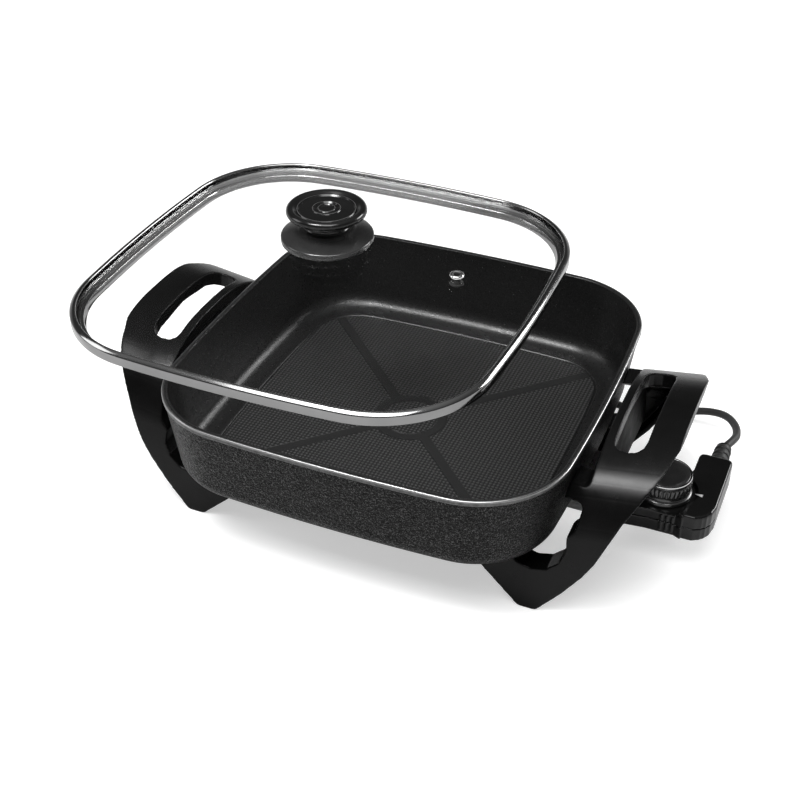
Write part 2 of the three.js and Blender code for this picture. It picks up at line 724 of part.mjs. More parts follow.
// Inner side of the leg above its window, up to the block against the pan's corner
const BRACKET_INNER_SHARES = [[0.743, 0.57], [0.752, 0.697]];
const BRACKET_BLOCK_SHARES = [[0.62, 0.697], [0.62, 0.765], [0.752, 0.765]];
const HANDLE_LIP_SHARE = 0.939;
// The arch seen from the side, as shares of the half span and of the crown's height: its outside,
// and the line to which its edges reach
const ARCH_SHARES = [
  [0, 1], [0.236, 0.994], [0.33, 0.981], [0.425, 0.962], [0.519, 0.934], [0.613, 0.901],
  [0.708, 0.856], [0.783, 0.796], [0.84, 0.73], [0.896, 0.65], [0.934, 0.565], [0.958, 0.46],
  [0.98, 0.25], [1, 0],
];
const ARCH_INSIDE_SHARES = [
  [0, 0.933], [0.33, 0.899], [0.519, 0.839], [0.66, 0.749], [0.735, 0.629], [0.773, 0.479],
  [0.802, 0.255], [0.83, 0],
];
const HANDLE_TILT = (CROWN * (1 - HANDLE_LIP_SHARE)) / HANDLE_WIDTH;

function bracketFront(blockShares) {
  const at = ([x, z]) => [x * BRACKET_REACH, z * CROWN];
  const windowZ = RIM_HEIGHT - LEG_WINDOW_DROP;
  const from = Math.atan2(BRACKET_INNER_SHARES[0][1] * CROWN - windowZ,
    BRACKET_INNER_SHARES[0][0] * BRACKET_REACH - LEG_WINDOW_X);
  const to = Math.asin((ARM_TOP - windowZ) / LEG_WINDOW_RADIUS);
  const windowArc = arc(LEG_WINDOW_X, windowZ, LEG_WINDOW_RADIUS, -HALF_TURN - to,
    Math.min(from, HANDLE_GAP / LEG_WINDOW_RADIUS), 2 * CURVE_STEPS);
  return [
    [HANDLE_START, HANDLE_LIP_SHARE * CROWN + GAP],
    ...BRACKET_EDGE_SHARES.map(at),
    ...BRACKET_FOOT_SHARES.map(at),
    [ARM_REACH, ARM_TOP],
    ...windowArc,
    ...BRACKET_INNER_SHARES.map(at),
    ...blockShares.map(at),
  ].reverse();
}

function archOutline(shares, drop) {
  const half = shares.map(([y, z]) => [y * BRACKET_HALF_SPAN, z * CROWN]);
  const last = half[half.length - 1];
  last[1] -= drop;
  return [...half.slice(1).reverse(), ...half.map(([y, z]) => [-y, z])];
}

function slotOutline(grow) {
  const x0 = HANDLE_START + SLOT_INSET - grow;
  const x1 = HANDLE_START + SLOT_INSET + SLOT_WIDTH + grow;
  const y = SLOT_LENGTH / 2 + grow;
  const radius = SLOT_WIDTH / 2 + grow;
  return eased([[x0, -y], [x1, -y], [x1, y], [x0, y]], [radius, radius, radius, radius]);
}

// The arch pushed along X, its top falling towards the pan by the handle's tilt
function archPrism(outline) {
  const tilt = new THREE.Matrix4().set(
    1, 0, 0, 0,
    0, 1, 0, 0,
    HANDLE_TILT, 0, 1, -HANDLE_TILT * BRACKET_REACH,
    0, 0, 0, 1,
  );
  return prismX(outline, 0, BRACKET_REACH + OVERRUN).transform(tilt.elements);
}

function bracketBody() {
  const front = bracketFront(BRACKET_BLOCK_SHARES);
  const far = BRACKET_HALF_SPAN + OVERRUN;
  const arch = archOutline(ARCH_SHARES, 0);
  const easing = front.map((_, i) => (i < front.length - 1 ? BRACKET_EASE : 0));
  const blank = prismY(eased(front, easing), -far, far).intersect(archPrism(arch));
  const shell = cut(blank, archPrism(archOutline(ARCH_INSIDE_SHARES, OVERRUN)));
  const pocket = prismY(insetOutline(bracketFront([]), BRACKET_SIDE), -far, far)
    .intersect(archPrism(insetOutline(arch, BRACKET_SKIN)));
  const collar = prismZ(slotOutline(SLOT_COLLAR), ARM_TOP, CROWN + OVERRUN);
  const posts = [-BOSS_Y, BOSS_Y].map((y) => rod(BOSS_X, y, SCREW_POST_RADIUS, 0, ARM_TOP));
  const bores = [-BOSS_Y, BOSS_Y].flatMap((y) => [
    rod(BOSS_X, y, SCREW_RADIUS + GAP, 0, CROWN),
    rod(BOSS_X, y, SCREW_HEAD_RADIUS + GAP, -OVERRUN, armSeat),
  ]);
  return cut(
    shell,
    cut(pocket, collar, ...posts),
    prismZ(slotOutline(0), ARM_TOP, CROWN + OVERRUN),
    panEnvelope().translate([0, -BRACKET_SHIFT_Y, 0]),
    ...bores,
  ).translate([0, BRACKET_SHIFT_Y, 0]);
}

// Lid glass: an even dome of the ring's plan
const glassEdge = RING_SHEET + GAP;
const domeHeight = (share) => DOME_RISE * (1 - share ** DOME_POWER_SHARE);
const glassFoot = RING_SHEET + GAP;
const domeTop = glassFoot + GLASS_THICKNESS + DOME_RISE;

function glassBody(...holes) {
  const edge = lidRing(glassEdge, 0);
  const ring = (share, lift) => edge.map((p) =>
    new THREE.Vector3(p.x * share, p.y * share, glassFoot + lift + domeHeight(share)));
  const shares = [KNOB_NECK_RADIUS / PAN_HALF];
  for (let k = 1; k <= DOME_STEPS; k += 1) shares.push(Math.sqrt(k / DOME_STEPS));
  const under = shares.map((share) => ring(share, 0));
  const upper = shares.map((share) => ring(share, GLASS_THICKNESS)).reverse();
  return cut(loft([...under, ...upper]), ...holes);
}

function ringBody() {
  const top = RING_HEIGHT;
  const inner = RING_FLANGE + RING_SHEET;
  const section = [
    [RING_ROUND, 0], [0, RING_ROUND], [0, top - RING_ROUND], [RING_ROUND, top], [RING_LIP, top],
    [RING_LIP, top - RING_SHEET], [RING_SHEET, top - RING_SHEET], [RING_SHEET, RING_SHEET],
    [inner, RING_SHEET], [inner + RING_TAPER, -RING_SKIRT],
    [RING_FLANGE + RING_TAPER, -RING_SKIRT], [RING_FLANGE, 0],
  ];
  return hoop(section.map(([inset, z]) => lidRing(inset, z)));
}

// Lid knob: a hollow base on the glass, and a dished grip on the base
const knobFoot = domeTop + GAP;

function knobBaseBody() {
  const bore = KNOB_SCREW_RADIUS + GAP;
  const inside = KNOB_BASE_RADIUS - KNOB_BASE_WALL;
  const neck = KNOB_NECK_RADIUS + KNOB_BASE_WALL;
  return turnedRing([
    [KNOB_BASE_RADIUS, 0], [KNOB_BASE_RADIUS, KNOB_BASE_RIM],
    [KNOB_BASE_SHOULDER_RADIUS, KNOB_BASE_SHOULDER], [neck, KNOB_BASE_HEIGHT],
    [bore, KNOB_BASE_HEIGHT], [bore, 0], [KNOB_POST_RADIUS, 0],
    [KNOB_POST_RADIUS, KNOB_BASE_SHOULDER - KNOB_BASE_WALL],
    [neck, KNOB_BASE_SHOULDER - KNOB_BASE_WALL],
    [inside, KNOB_BASE_RIM - KNOB_BASE_WALL / 2], [inside, 0],
  ]).translate([0, 0, knobFoot]);
}

// Steps of the grip's dished top, as shares of the disc's radius
const KNOB_STEP_SHARES = [0.76, 0.36, 0.2];

function knobGripBody() {
  const foot = KNOB_BASE_HEIGHT + GAP;
  const r = KNOB_DISC_RADIUS;
  const top = KNOB_HEIGHT;
  const bore = KNOB_SCREW_RADIUS + GAP;
  const [rimStep, midStep, pipStep] = KNOB_STEP_SHARES.map((share) => share * r);
  const dish = top - KNOB_DISH;
  const waist = (foot + top) / 2 - KNOB_RIM_ROUND;
  const outside = [
    [bore, KNOB_SCREW_END + GAP], [bore, foot], [KNOB_NECK_RADIUS + KNOB_STEP, foot],
    [KNOB_NECK_RADIUS, foot + KNOB_STEP], [KNOB_NECK_RADIUS, waist],
    [(KNOB_NECK_RADIUS + r) / 2, waist + KNOB_RIM_ROUND],
    [r - KNOB_RIM_ROUND, top - 2 * KNOB_RIM_ROUND],
  ];
  const rim = arc(r - KNOB_RIM_ROUND, top - KNOB_RIM_ROUND, KNOB_RIM_ROUND, 0, QUARTER_TURN,
    CURVE_STEPS);
  const dished = [
    [rimStep + KNOB_STEP, dish + KNOB_STEP], [rimStep, dish],
    [midStep + KNOB_STEP, dish - KNOB_STEP / 2], [midStep, dish - KNOB_STEP],
    [pipStep, dish - KNOB_STEP], [pipStep - KNOB_STEP, dish], [0, dish],
  ];
  return turned([[0, KNOB_SCREW_END + GAP], ...outside, ...rim, ...dished])
    .translate([0, 0, knobFoot]);
}

const glassUnder = domeTop - GLASS_THICKNESS;
const washerTop = glassUnder - GAP;
const washerBody = () => turnedRing([
  [WASHER_RADIUS, washerTop - WASHER_THICKNESS], [WASHER_RADIUS, washerTop],
  [KNOB_SCREW_RADIUS + GAP, washerTop], [KNOB_SCREW_RADIUS + GAP, washerTop - WASHER_THICKNESS],
], SMALL_STEPS);

function knobScrewBody() {
  const seat = washerTop - WASHER_THICKNESS - GAP;
  return screw(0, 0, seat, KNOB_SCREW_RADIUS, KNOB_SCREW_HEAD, KNOB_SCREW_RADIUS,
    knobFoot + KNOB_SCREW_END - seat, SMALL_STEPS);
}

// Vent eyelet, square to the glass where it sits
function ventFrame() {
  const span = PAN_HALF - glassEdge;
  const share = VENT_OFFSET / span;
  const slope = (DOME_RISE * DOME_POWER_SHARE * share ** (DOME_POWER_SHARE - 1)) / span;
  const tilt = Math.atan(slope);
  const z = glassFoot + domeHeight(share) + GLASS_THICKNESS / 2;
  return new THREE.Matrix4().makeRotationY(tilt).setPosition(VENT_OFFSET, 0, z);
}

function ventBody() {
  const half = GLASS_THICKNESS / 2 + GAP;
  const low = (VENT_RADIUS + VENT_NECK_RADIUS) / 2;
  return solid(lathed([
    [low, -half - VENT_HEAD / 2], [low, -half], [VENT_NECK_RADIUS, -half],
    [VENT_NECK_RADIUS, half], [VENT_RADIUS, half], [VENT_RADIUS - VENT_HEAD / 2, half + VENT_HEAD],
    [VENT_BORE_RADIUS, half + VENT_HEAD], [VENT_BORE_RADIUS, -half - VENT_HEAD / 2],
    [low, -half - VENT_HEAD / 2],
  ], SMALL_STEPS).applyMatrix4(ventFrame()));
}

const ventHole = () => solid(lathed([
  [0, -OVERRUN], [VENT_NECK_RADIUS + GAP, -OVERRUN], [VENT_NECK_RADIUS + GAP, OVERRUN],
  [0, OVERRUN],
], SMALL_STEPS).applyMatrix4(ventFrame()));

// Temperature controller: plan outline, anticlockwise from the front left
function bodyOutline(inset) {
  const neckStart = BODY_END - NECK_WIDTH;
  const grip = BODY_FRONT - BODY_GRIP_DEPTH;
  const corners = [
    [BODY_START, -BODY_FRONT, BODY_ROUND], [BODY_GRIP_START, -grip, BODY_CORNER],
    [BODY_GRIP_END, -grip, BODY_ROUND],
    [BODY_GRIP_END + 2 * BODY_GRIP_DEPTH, -BODY_FRONT, BODY_ROUND],
    [BODY_END, -BODY_FRONT, BODY_CORNER], [BODY_END, NECK_END, NECK_CORNER],
    [neckStart, NECK_END, NECK_CORNER], [neckStart, BODY_BACK, NECK_CORNER],
    [BODY_START, BODY_BACK, BODY_ROUND],
  ];
  const points = insetOutline(corners.map(([x, y]) => [x, y]), inset);
  return eased(points, corners.map(([, , radius]) => Math.max(radius - inset, GAP)));
}

function noseOutline(inset) {
  const x = NOSE_START + inset;
  const y = NOSE_HALF_WIDTH - inset;
  const radius = NOSE_ROUND;
  const far = BODY_START + 2 * BODY_WALL;
  return eased([[x, -y], [far, -y], [far, y], [x, y]], [radius, 0, 0, radius]);
}

function controllerBlank() {
  const noseHalf = NOSE_HEIGHT / 2;
  const ribs = [-1, 0, 1].map((k) => {
    const x = GRIP_RIB_X + k * GRIP_RIB_PITCH;
    const half = GRIP_RIB_WIDTH / 2;
    const front = BODY_FRONT - BODY_GRIP_DEPTH + GRIP_RIB_PROUD;
    return block(x - half, x + half, -front, BODY_WALL - front, BODY_BOTTOM + 2 * BODY_ROUND,
      BODY_TOP - DIAL_WELL_DEPTH - BODY_ROUND);
  });
  return joined(
    pillow(bodyOutline, BODY_BOTTOM, BODY_TOP, BODY_ROUND, BODY_ROUND),
    pillow(noseOutline, BODY_MIDDLE - noseHalf, BODY_MIDDLE + noseHalf, NOSE_ROUND, NOSE_ROUND),
    ...ribs,
  );
}

function controllerHollow() {
  const noseHalf = NOSE_HEIGHT / 2 - BODY_WALL;
  const body = pillow((inset) => bodyOutline(BODY_WALL + inset), BODY_BOTTOM + BODY_WALL,
    BODY_TOP - BODY_WALL, 0, 0);
  const nose = block(NOSE_START + BODY_WALL, BODY_START + 2 * BODY_WALL,
    BODY_WALL - NOSE_HALF_WIDTH, NOSE_HALF_WIDTH - BODY_WALL,
    BODY_MIDDLE - noseHalf, BODY_MIDDLE + noseHalf);
  return joined(body, nose);
}

// Holes through both halves: for the pins, the probe and the strain relief
function controllerPorts() {
  const wallEnd = NOSE_START + BODY_WALL + OVERRUN;
  const port = (y, radius) => rodX(y, BODY_MIDDLE, radius, NOSE_START - OVERRUN, wallEnd);
  const reliefHole = rod(0, 0, RELIEF_ROOT_RADIUS + GAP, NECK_END - BODY_WALL - OVERRUN / 2,
    NECK_END + OVERRUN).rotate([-90, 0, 0]).translate([CORD_X, 0, BODY_MIDDLE]);
  return [
    port(0, PROBE_RADIUS + GAP),
    port(PIN_HALF_PITCH, PIN_RADIUS + 2 * GAP),
    port(-PIN_HALF_PITCH, PIN_RADIUS + 2 * GAP),
    reliefHole,
  ];
}

const casePosts = (low, high) =>
  CASE_SCREW_PLACES.map(([x, y]) => rod(x, y, CASE_POST_RADIUS, low, high));

function controllerTopBody() {
  const wellRoof = rod(DIAL_X, 0, DIAL_WELL_RADIUS + BODY_WALL, WELL_FLOOR - BODY_WALL, BODY_TOP,
    ROUND_STEPS);
  const mouthRoof = block(BODY_START, DIAL_WELL_MOUTH + BODY_WALL, -BODY_FRONT, 0,
    WELL_FLOOR - BODY_WALL, BODY_TOP);
  const hollow = cut(controllerHollow(), wellRoof, mouthRoof,
    ...casePosts(BODY_MIDDLE, BODY_TOP));
  const upper = block(NOSE_START - OVERRUN, BODY_END + OVERRUN, -BODY_FRONT - OVERRUN,
    NECK_END + OVERRUN, BODY_MIDDLE + GAP / 2, BODY_TOP + OVERRUN);
  return cut(
    controllerBlank().intersect(upper),
    hollow,
    rod(DIAL_X, 0, DIAL_WELL_RADIUS, WELL_FLOOR, BODY_TOP + OVERRUN, ROUND_STEPS),
    block(BODY_START + BODY_WALL, DIAL_WELL_MOUTH, -BODY_FRONT - OVERRUN, 0, WELL_FLOOR,
      BODY_TOP + OVERRUN),
    rod(DIAL_X, 0, SHAFT_RADIUS + GAP, BODY_MIDDLE, BODY_TOP),
    ...controllerPorts(),
    ...CASE_SCREW_PLACES.map(([x, y]) =>
      rod(x, y, CASE_SCREW_RADIUS + GAP, BODY_BOTTOM, caseScrewEnd + GAP, TINY_STEPS)),
  );
}

const caseScrewEnd = BODY_TOP - 2 * BODY_WALL - DIAL_WELL_DEPTH / 2;
const caseScrewSeat = BODY_BOTTOM + CASE_SCREW_HEAD_HEIGHT + GAP;
const pedestalTop = BODY_MIDDLE - CONTACT_HALF - GAP;
const blockTop = BODY_MIDDLE + GAP;

function controllerBaseBody() {
  const lower = block(NOSE_START - OVERRUN, BODY_END + OVERRUN, -BODY_FRONT - OVERRUN,
    NECK_END + OVERRUN, BODY_BOTTOM - OVERRUN, BODY_MIDDLE - GAP / 2);
  const hollow = cut(controllerHollow(), ...casePosts(BODY_BOTTOM, BODY_MIDDLE));
  const pedestals = [-1, 1].map((j) => block(CONTACT_START, CONTACT_START + CONTACT_LENGTH,
    j * PIN_HALF_PITCH - CONTACT_HALF, j * PIN_HALF_PITCH + CONTACT_HALF,
    BODY_MIDDLE - NOSE_HEIGHT / 2 + BODY_WALL / 2, pedestalTop));
  const cradle = block(NOSE_START + BODY_WALL / 2, CONTACT_START + CONTACT_LENGTH,
    -PROBE_RADIUS, PROBE_RADIUS, BODY_MIDDLE - NOSE_HEIGHT / 2 + BODY_WALL / 2, BODY_MIDDLE);
  const shell = cut(controllerBlank(), hollow).intersect(lower);
  return cut(
    joined(shell, ...pedestals, cradle.intersect(lower)),
    ...controllerPorts(),
    rodX(0, BODY_MIDDLE, PROBE_RADIUS + GAP, NOSE_START - OVERRUN,
      CONTACT_START + CONTACT_LENGTH + OVERRUN),
    ...CASE_SCREW_PLACES.flatMap(([x, y]) => [
      rod(x, y, CASE_SCREW_RADIUS + GAP, BODY_BOTTOM - OVERRUN, BODY_TOP, TINY_STEPS),
      rod(x, y, CASE_SCREW_HEAD + GAP, BODY_BOTTOM - OVERRUN, caseScrewSeat, SMALL_STEPS),
    ]),
  );
}

const caseScrewBody = ([x, y]) => screw(x, y, caseScrewSeat - GAP, CASE_SCREW_RADIUS,
  CASE_SCREW_HEAD, CASE_SCREW_HEAD_HEIGHT, caseScrewEnd - caseScrewSeat + GAP, TINY_STEPS);

const probeEnd = CONTACT_START + CONTACT_LENGTH;
const probeBody = () => solid(lathed([
  [0, PROBE_TIP], [PROBE_RADIUS / 2, PROBE_TIP], [PROBE_RADIUS, PROBE_TIP + PROBE_RADIUS],
  [PROBE_RADIUS, probeEnd], [0, probeEnd],
], SMALL_STEPS).rotateY(QUARTER_TURN).translate(0, 0, BODY_MIDDLE));

function contactBody(side) {
  const y = side * PIN_HALF_PITCH;
  const end = CONTACT_START + CONTACT_LENGTH;
  return cut(
    block(CONTACT_START, end, y - CONTACT_HALF, y + CONTACT_HALF, BODY_MIDDLE - CONTACT_HALF,
      BODY_MIDDLE + CONTACT_HALF),
    rodX(y, BODY_MIDDLE, PIN_RADIUS + GAP, CONTACT_START - OVERRUN, end - CONTACT_HALF),
  );
}

const bladeLevel = blockTop + GAP;
const thermostatBlockBody = () => block(THERMOSTAT_START, THERMOSTAT_START + THERMOSTAT_BLOCK,
  -THERMOSTAT_WIDTH / 2, THERMOSTAT_WIDTH / 2, BODY_BOTTOM + BODY_WALL + GAP, blockTop);
const thermostatBladeBody = () => block(THERMOSTAT_START,
  THERMOSTAT_START + THERMOSTAT_LENGTH, -THERMOSTAT_WIDTH / 2, THERMOSTAT_WIDTH / 2, bladeLevel,
  bladeLevel + THERMOSTAT_BLADE);
const pinBody = (side) => rodX(side * PIN_HALF_PITCH, BODY_MIDDLE, PIN_RADIUS,
  ELEMENT_END + GAP, ELEMENT_END + GAP + PIN_LENGTH);

// Dial: a hollow knurled knob, its bright ring, and the shaft that bends the thermostat's blade
function knurl(radius, low, high) {
  const points = [];
  for (let k = 0; k < DIAL_TEETH; k += 1) {
    for (const [offset, r] of [[0, radius], [1 / 2, radius - DIAL_TOOTH]]) {
      const t = (2 * HALF_TURN * (k + offset)) / DIAL_TEETH;
      points.push([r * Math.cos(t), r * Math.sin(t)]);
    }
  }
  return prismZ(points, low, high);
}

const shaftTop = DIAL_TOP - DIAL_WALL - GAP;

function dialBody() {
  const knurlLow = DIAL_BOTTOM + DIAL_FLANGE;
  const knurlHigh = knurlLow + DIAL_KNURL;
  const r = DIAL_RADIUS;
  const seat = DIAL_TOP - DIAL_RING_HEIGHT - GAP;
  const face = r - DIAL_RING_WIDTH - GAP;
  const body = turned([
    [0, DIAL_BOTTOM], [DIAL_FLANGE_RADIUS, DIAL_BOTTOM], [DIAL_FLANGE_RADIUS, knurlLow],
    [r - DIAL_TOOTH, knurlLow], [r - DIAL_TOOTH, knurlHigh], [r, knurlHigh], [r, seat],
    [face, seat], [face, DIAL_TOP], [0, DIAL_TOP],
  ]);
  const hollow = turnedRing([
    [r - DIAL_WALL - DIAL_TOOTH, DIAL_BOTTOM - OVERRUN],
    [r - DIAL_WALL - DIAL_TOOTH, seat - DIAL_WALL], [DIAL_HUB_RADIUS, seat - DIAL_WALL],
    [DIAL_HUB_RADIUS, DIAL_BOTTOM - OVERRUN],
  ]);
  const bore = rod(0, 0, SHAFT_RADIUS + GAP, DIAL_BOTTOM - OVERRUN, shaftTop + GAP);
  const ribs = knurl(DIAL_RADIUS + DIAL_TOOTH / 2, knurlLow - GAP, knurlHigh + GAP);
  return cut(joined(body, ribs), hollow, bore).translate([DIAL_X, 0, 0]);
}

function dialRingBody() {
  const inner = DIAL_RADIUS - DIAL_RING_WIDTH;
  const low = DIAL_TOP - DIAL_RING_HEIGHT;
  const chamfer = DIAL_RING_HEIGHT / 2;
  return turnedRing([
    [DIAL_RADIUS, low], [DIAL_RADIUS, DIAL_TOP - chamfer], [DIAL_RADIUS - chamfer, DIAL_TOP],
    [inner, DIAL_TOP], [inner, low],
  ]).translate([DIAL_X, 0, 0]);
}

const shaftBody = () => rod(DIAL_X, 0, SHAFT_RADIUS, bladeLevel + THERMOSTAT_BLADE + GAP, shaftTop);

// Strain relief: a tapered sleeve with ribs, its collar trapped behind the neck's end wall
function reliefBody() {
  const bore = CORD_RADIUS + 2 * GAP;
  const inside = NECK_END - BODY_WALL - GAP;
  const span = RELIEF_LENGTH / RELIEF_RIBS;
  const profile = [
    [RELIEF_COLLAR_RADIUS, inside - RELIEF_COLLAR], [RELIEF_COLLAR_RADIUS, inside],
    [RELIEF_ROOT_RADIUS, inside],
  ];
  for (let k = 0; k < RELIEF_RIBS; k += 1) {
    const y = NECK_END + k * span;
    const fall = (RELIEF_ROOT_RADIUS - RELIEF_TIP_RADIUS) * (k / RELIEF_RIBS);
    const r = RELIEF_ROOT_RADIUS - fall;
    profile.push([r, y], [r, y + span / 2], [r - RELIEF_GROOVE, y + span / 2],
      [r - RELIEF_GROOVE, y + span]);
  }
  profile.push([bore, NECK_END + RELIEF_LENGTH], [bore, inside - RELIEF_COLLAR]);
  return turnedRing(profile, TINY_STEPS).rotate([-90, 0, 0])
    .translate([CORD_X, 0, BODY_MIDDLE]);
}

// Free stretch of the cord, from the neck round the back leg to the coil: chosen points
const CORD_ROUTE = [
  [1.6, 86, 40.2], [4, 96, 38.7], [5.3, 106.9, 36.4], [3.2, 119.9, 33.8], [-1, 131, 31],
  [-6.3, 140.4, 28.2], [-12.8, 147.7, 25.2], [-20.2, 152.7, 22], [-27.7, 156, 18.8],
  [-35, 157.6, 15.8], [-43, 158, 13], [-51.6, 157, 10.4], [-61.6, 155, 7.8], [-72.6, 153.4, 5.6],
  [-84, 153.4, 4.2], [-95.6, 155.4, 3.5], [-107, 158.8, 3.3], [-118.6, 163.2, 3.3],
  [-130.6, 168.6, 3.3], [-142.6, 174.4, 3.3],
];

const coilLevel = CORD_RADIUS + CORD_LIFT;
const coilFront = COIL_Y - COIL_RADIUS;
const coilLead = 3 * CORD_RADIUS;
const stretchEnd = COIL_X + coilLead + GAP;

function stretchBody() {
  const run = 2 * CORD_RADIUS;
  const curve = smoothCurve([
    [CORD_X, CORD_START, BODY_MIDDLE], [CORD_X, CORD_START + run, BODY_MIDDLE],
    [CORD_X, NECK_END + RELIEF_LENGTH - run, BODY_MIDDLE],
    [CORD_X, NECK_END + RELIEF_LENGTH, BODY_MIDDLE],
    ...CORD_ROUTE.map(([x, y, z]) => [CORD_X + x, y, z]),
    [stretchEnd + 2 * run, coilFront, coilLevel], [stretchEnd + run, coilFront, coilLevel],
    [stretchEnd, coilFront, coilLevel],
  ]);
  return tube(curve, CORD_RADIUS, CORD_SIDES, CORD_STEPS);
}

// Coil: it spirals in on the lower layer, climbs where it turns back, and spirals out above
const plugLevel = PLUG_HALF_HEIGHT + CORD_LIFT;

function coilPoints() {
  const turns = 2 * COIL_LAYER_TURNS + 1 / 2;
  const steps = Math.round(turns * COIL_LOOP_STEPS);
  const inner = COIL_RADIUS - (COIL_PITCH * turns) / 2;
  const points = [[COIL_X + coilLead, coilFront, coilLevel],
    [COIL_X + coilLead - 2 * CORD_RADIUS, coilFront, coilLevel]];
  for (let k = 0; k <= steps; k += 1) {
    const turn = k / COIL_LOOP_STEPS;
    const radius = inner + COIL_PITCH * Math.abs(turn - turns / 2);
    const climb = Math.min(1, Math.max(0, 2 * (turn - COIL_LAYER_TURNS)));
    const t = -QUARTER_TURN - 2 * HALF_TURN * turn;
    points.push([COIL_X + radius * Math.cos(t), COIL_Y + radius * Math.sin(t),
      coilLevel + COIL_RISE * climb]);
  }
  const tailEnd = COIL_X - COIL_TAIL;
  points.push([COIL_X - COIL_TAIL / 2, coilFront, (coilLevel + COIL_RISE + plugLevel) / 2],
    [tailEnd + 2 * CORD_RADIUS, coilFront, plugLevel], [tailEnd, coilFront, plugLevel]);
  return points;
}

function leastGap(points, radius) {
  const near = Math.ceil(COIL_LOOP_STEPS / 4);
  let least = Infinity;
  for (let i = 0; i < points.length; i += 1) {
    for (let j = i + near; j < points.length; j += 1) {
      least = Math.min(least, points[i].distanceTo(points[j]));
    }
  }
  return least - 2 * radius;
}

function coilBody() {
  const curve = smoothCurve(coilPoints());
  const steps = Math.round((curve.getLength() / (2 * HALF_TURN * COIL_RADIUS)) * COIL_LOOP_STEPS);
  const dense = curve.getSpacedPoints(4 * steps);
  console.log('coil gap to itself (mm):', leastGap(dense, CORD_RADIUS).toFixed(2));
  return tube(curve, CORD_RADIUS, COIL_SIDES, steps);
}

// Plug: a moulded body with a neck for the cord, and two flat blades
const plugTail = COIL_X - COIL_TAIL - GAP;
const plugFront = plugTail - PLUG_NECK_LENGTH - PLUG_LENGTH;

function plugBody() {
  const back = plugTail - PLUG_NECK_LENGTH;
  const outline = (inset) => {
    const y = PLUG_HALF_WIDTH - inset;
    const z = PLUG_HALF_HEIGHT - inset;
    return eased([[-z, -y], [z, -y], [z, y], [-z, y]],
      [PLUG_ROUND, PLUG_ROUND, PLUG_ROUND, PLUG_ROUND]);
  };
  const body = pillow(outline, plugFront, back, 0, PLUG_ROUND).rotate([0, 90, 0]);
  const neck = solid(lathed([
    [0, back - PLUG_ROUND], [PLUG_NECK_RADIUS, back - PLUG_ROUND],
    [(PLUG_NECK_RADIUS + CORD_RADIUS) / 2 + GAP, plugTail], [0, plugTail],
  ], SMALL_STEPS).rotateY(QUARTER_TURN));
  const slots = [-1, 1].map((side) => bladeShape(side, GAP));
  return cut(joined(body, neck).translate([0, coilFront, plugLevel]), ...slots);
}

function bladeShape(side, grow) {
  const y = coilFront + side * BLADE_HALF_PITCH;
  const halfY = BLADE_THICKNESS / 2 + grow;
  const halfZ = BLADE_WIDTH / 2 + grow;
  return block(plugFront - BLADE_LENGTH - grow, plugFront + BLADE_BITE + grow, y - halfY,
    y + halfY, plugLevel - halfZ, plugLevel + halfZ);
}

function bladeBody(side) {
  const x = plugFront - BLADE_LENGTH + 2 * BLADE_HOLE_RADIUS;
  const hole = rod(0, 0, BLADE_HOLE_RADIUS, -OVERRUN - PLUG_HALF_WIDTH,
    OVERRUN + PLUG_HALF_WIDTH, TINY_STEPS).rotate([90, 0, 0])
    .translate([x, coilFront, plugLevel]);
  return cut(bladeShape(side, 0), hole);
}

place('skillet_pan', panBody(), castBlack, skillet);
place('heating_element', elementBody(), darkSteel, skillet);
place('terminal_pin_front', pinBody(-1), steel, skillet);
place('terminal_pin_back', pinBody(1), steel, skillet);
place('terminal_guard', guardBody(), steel, skillet);
const guardScrewSeat = PAN_BOTTOM - GAP - GUARD_WALL - GAP;
const guardScrew = (side) => screw(GUARD_SCREW_X, side * GUARD_SCREW_Y, guardScrewSeat,
  SCREW_RADIUS, SCREW_HEAD_RADIUS, SCREW_HEAD_HEIGHT,
  PAN_BOTTOM + GUARD_SCREW_BITE - guardScrewSeat, TINY_STEPS);
place('guard_screw_front', guardScrew(-1), steel, skillet);
place('guard_screw_back', guardScrew(1), steel, skillet);

const bracket = bracketBody();
place('bracket_right', bracket, glossBlack, skillet);
place('bracket_left', bracket.mirror([1, 0, 0]), glossBlack, skillet);
const bracketScrewNames = ['right_front', 'right_back', 'left_front', 'left_back'];
bossPlaces().forEach(([x, y], i) => {
  const seat = armSeat - GAP;
  place(`bracket_screw_${bracketScrewNames[i]}`, screw(x, y, seat, SCREW_RADIUS,
    SCREW_HEAD_RADIUS, SCREW_HEAD_HEIGHT, SCREW_BITE + BRACKET_SIDE + GAP, TINY_STEPS),
  steel, skillet);
});

const screwHole = rod(0, 0, KNOB_SCREW_RADIUS + GAP, 0, domeTop + OVERRUN);
place('lid_glass', glassBody(screwHole, ventHole()), glass, lid);
place('lid_ring', ringBody(), steel, lid);
place('knob_base', knobBaseBody(), glossBlack, lid);
place('knob_grip', knobGripBody(), glossBlack, lid);
place('knob_screw', knobScrewBody(), steel, lid);
place('knob_washer', washerBody(), steel, lid);
place('vent_grommet', ventBody(), steel, lid);

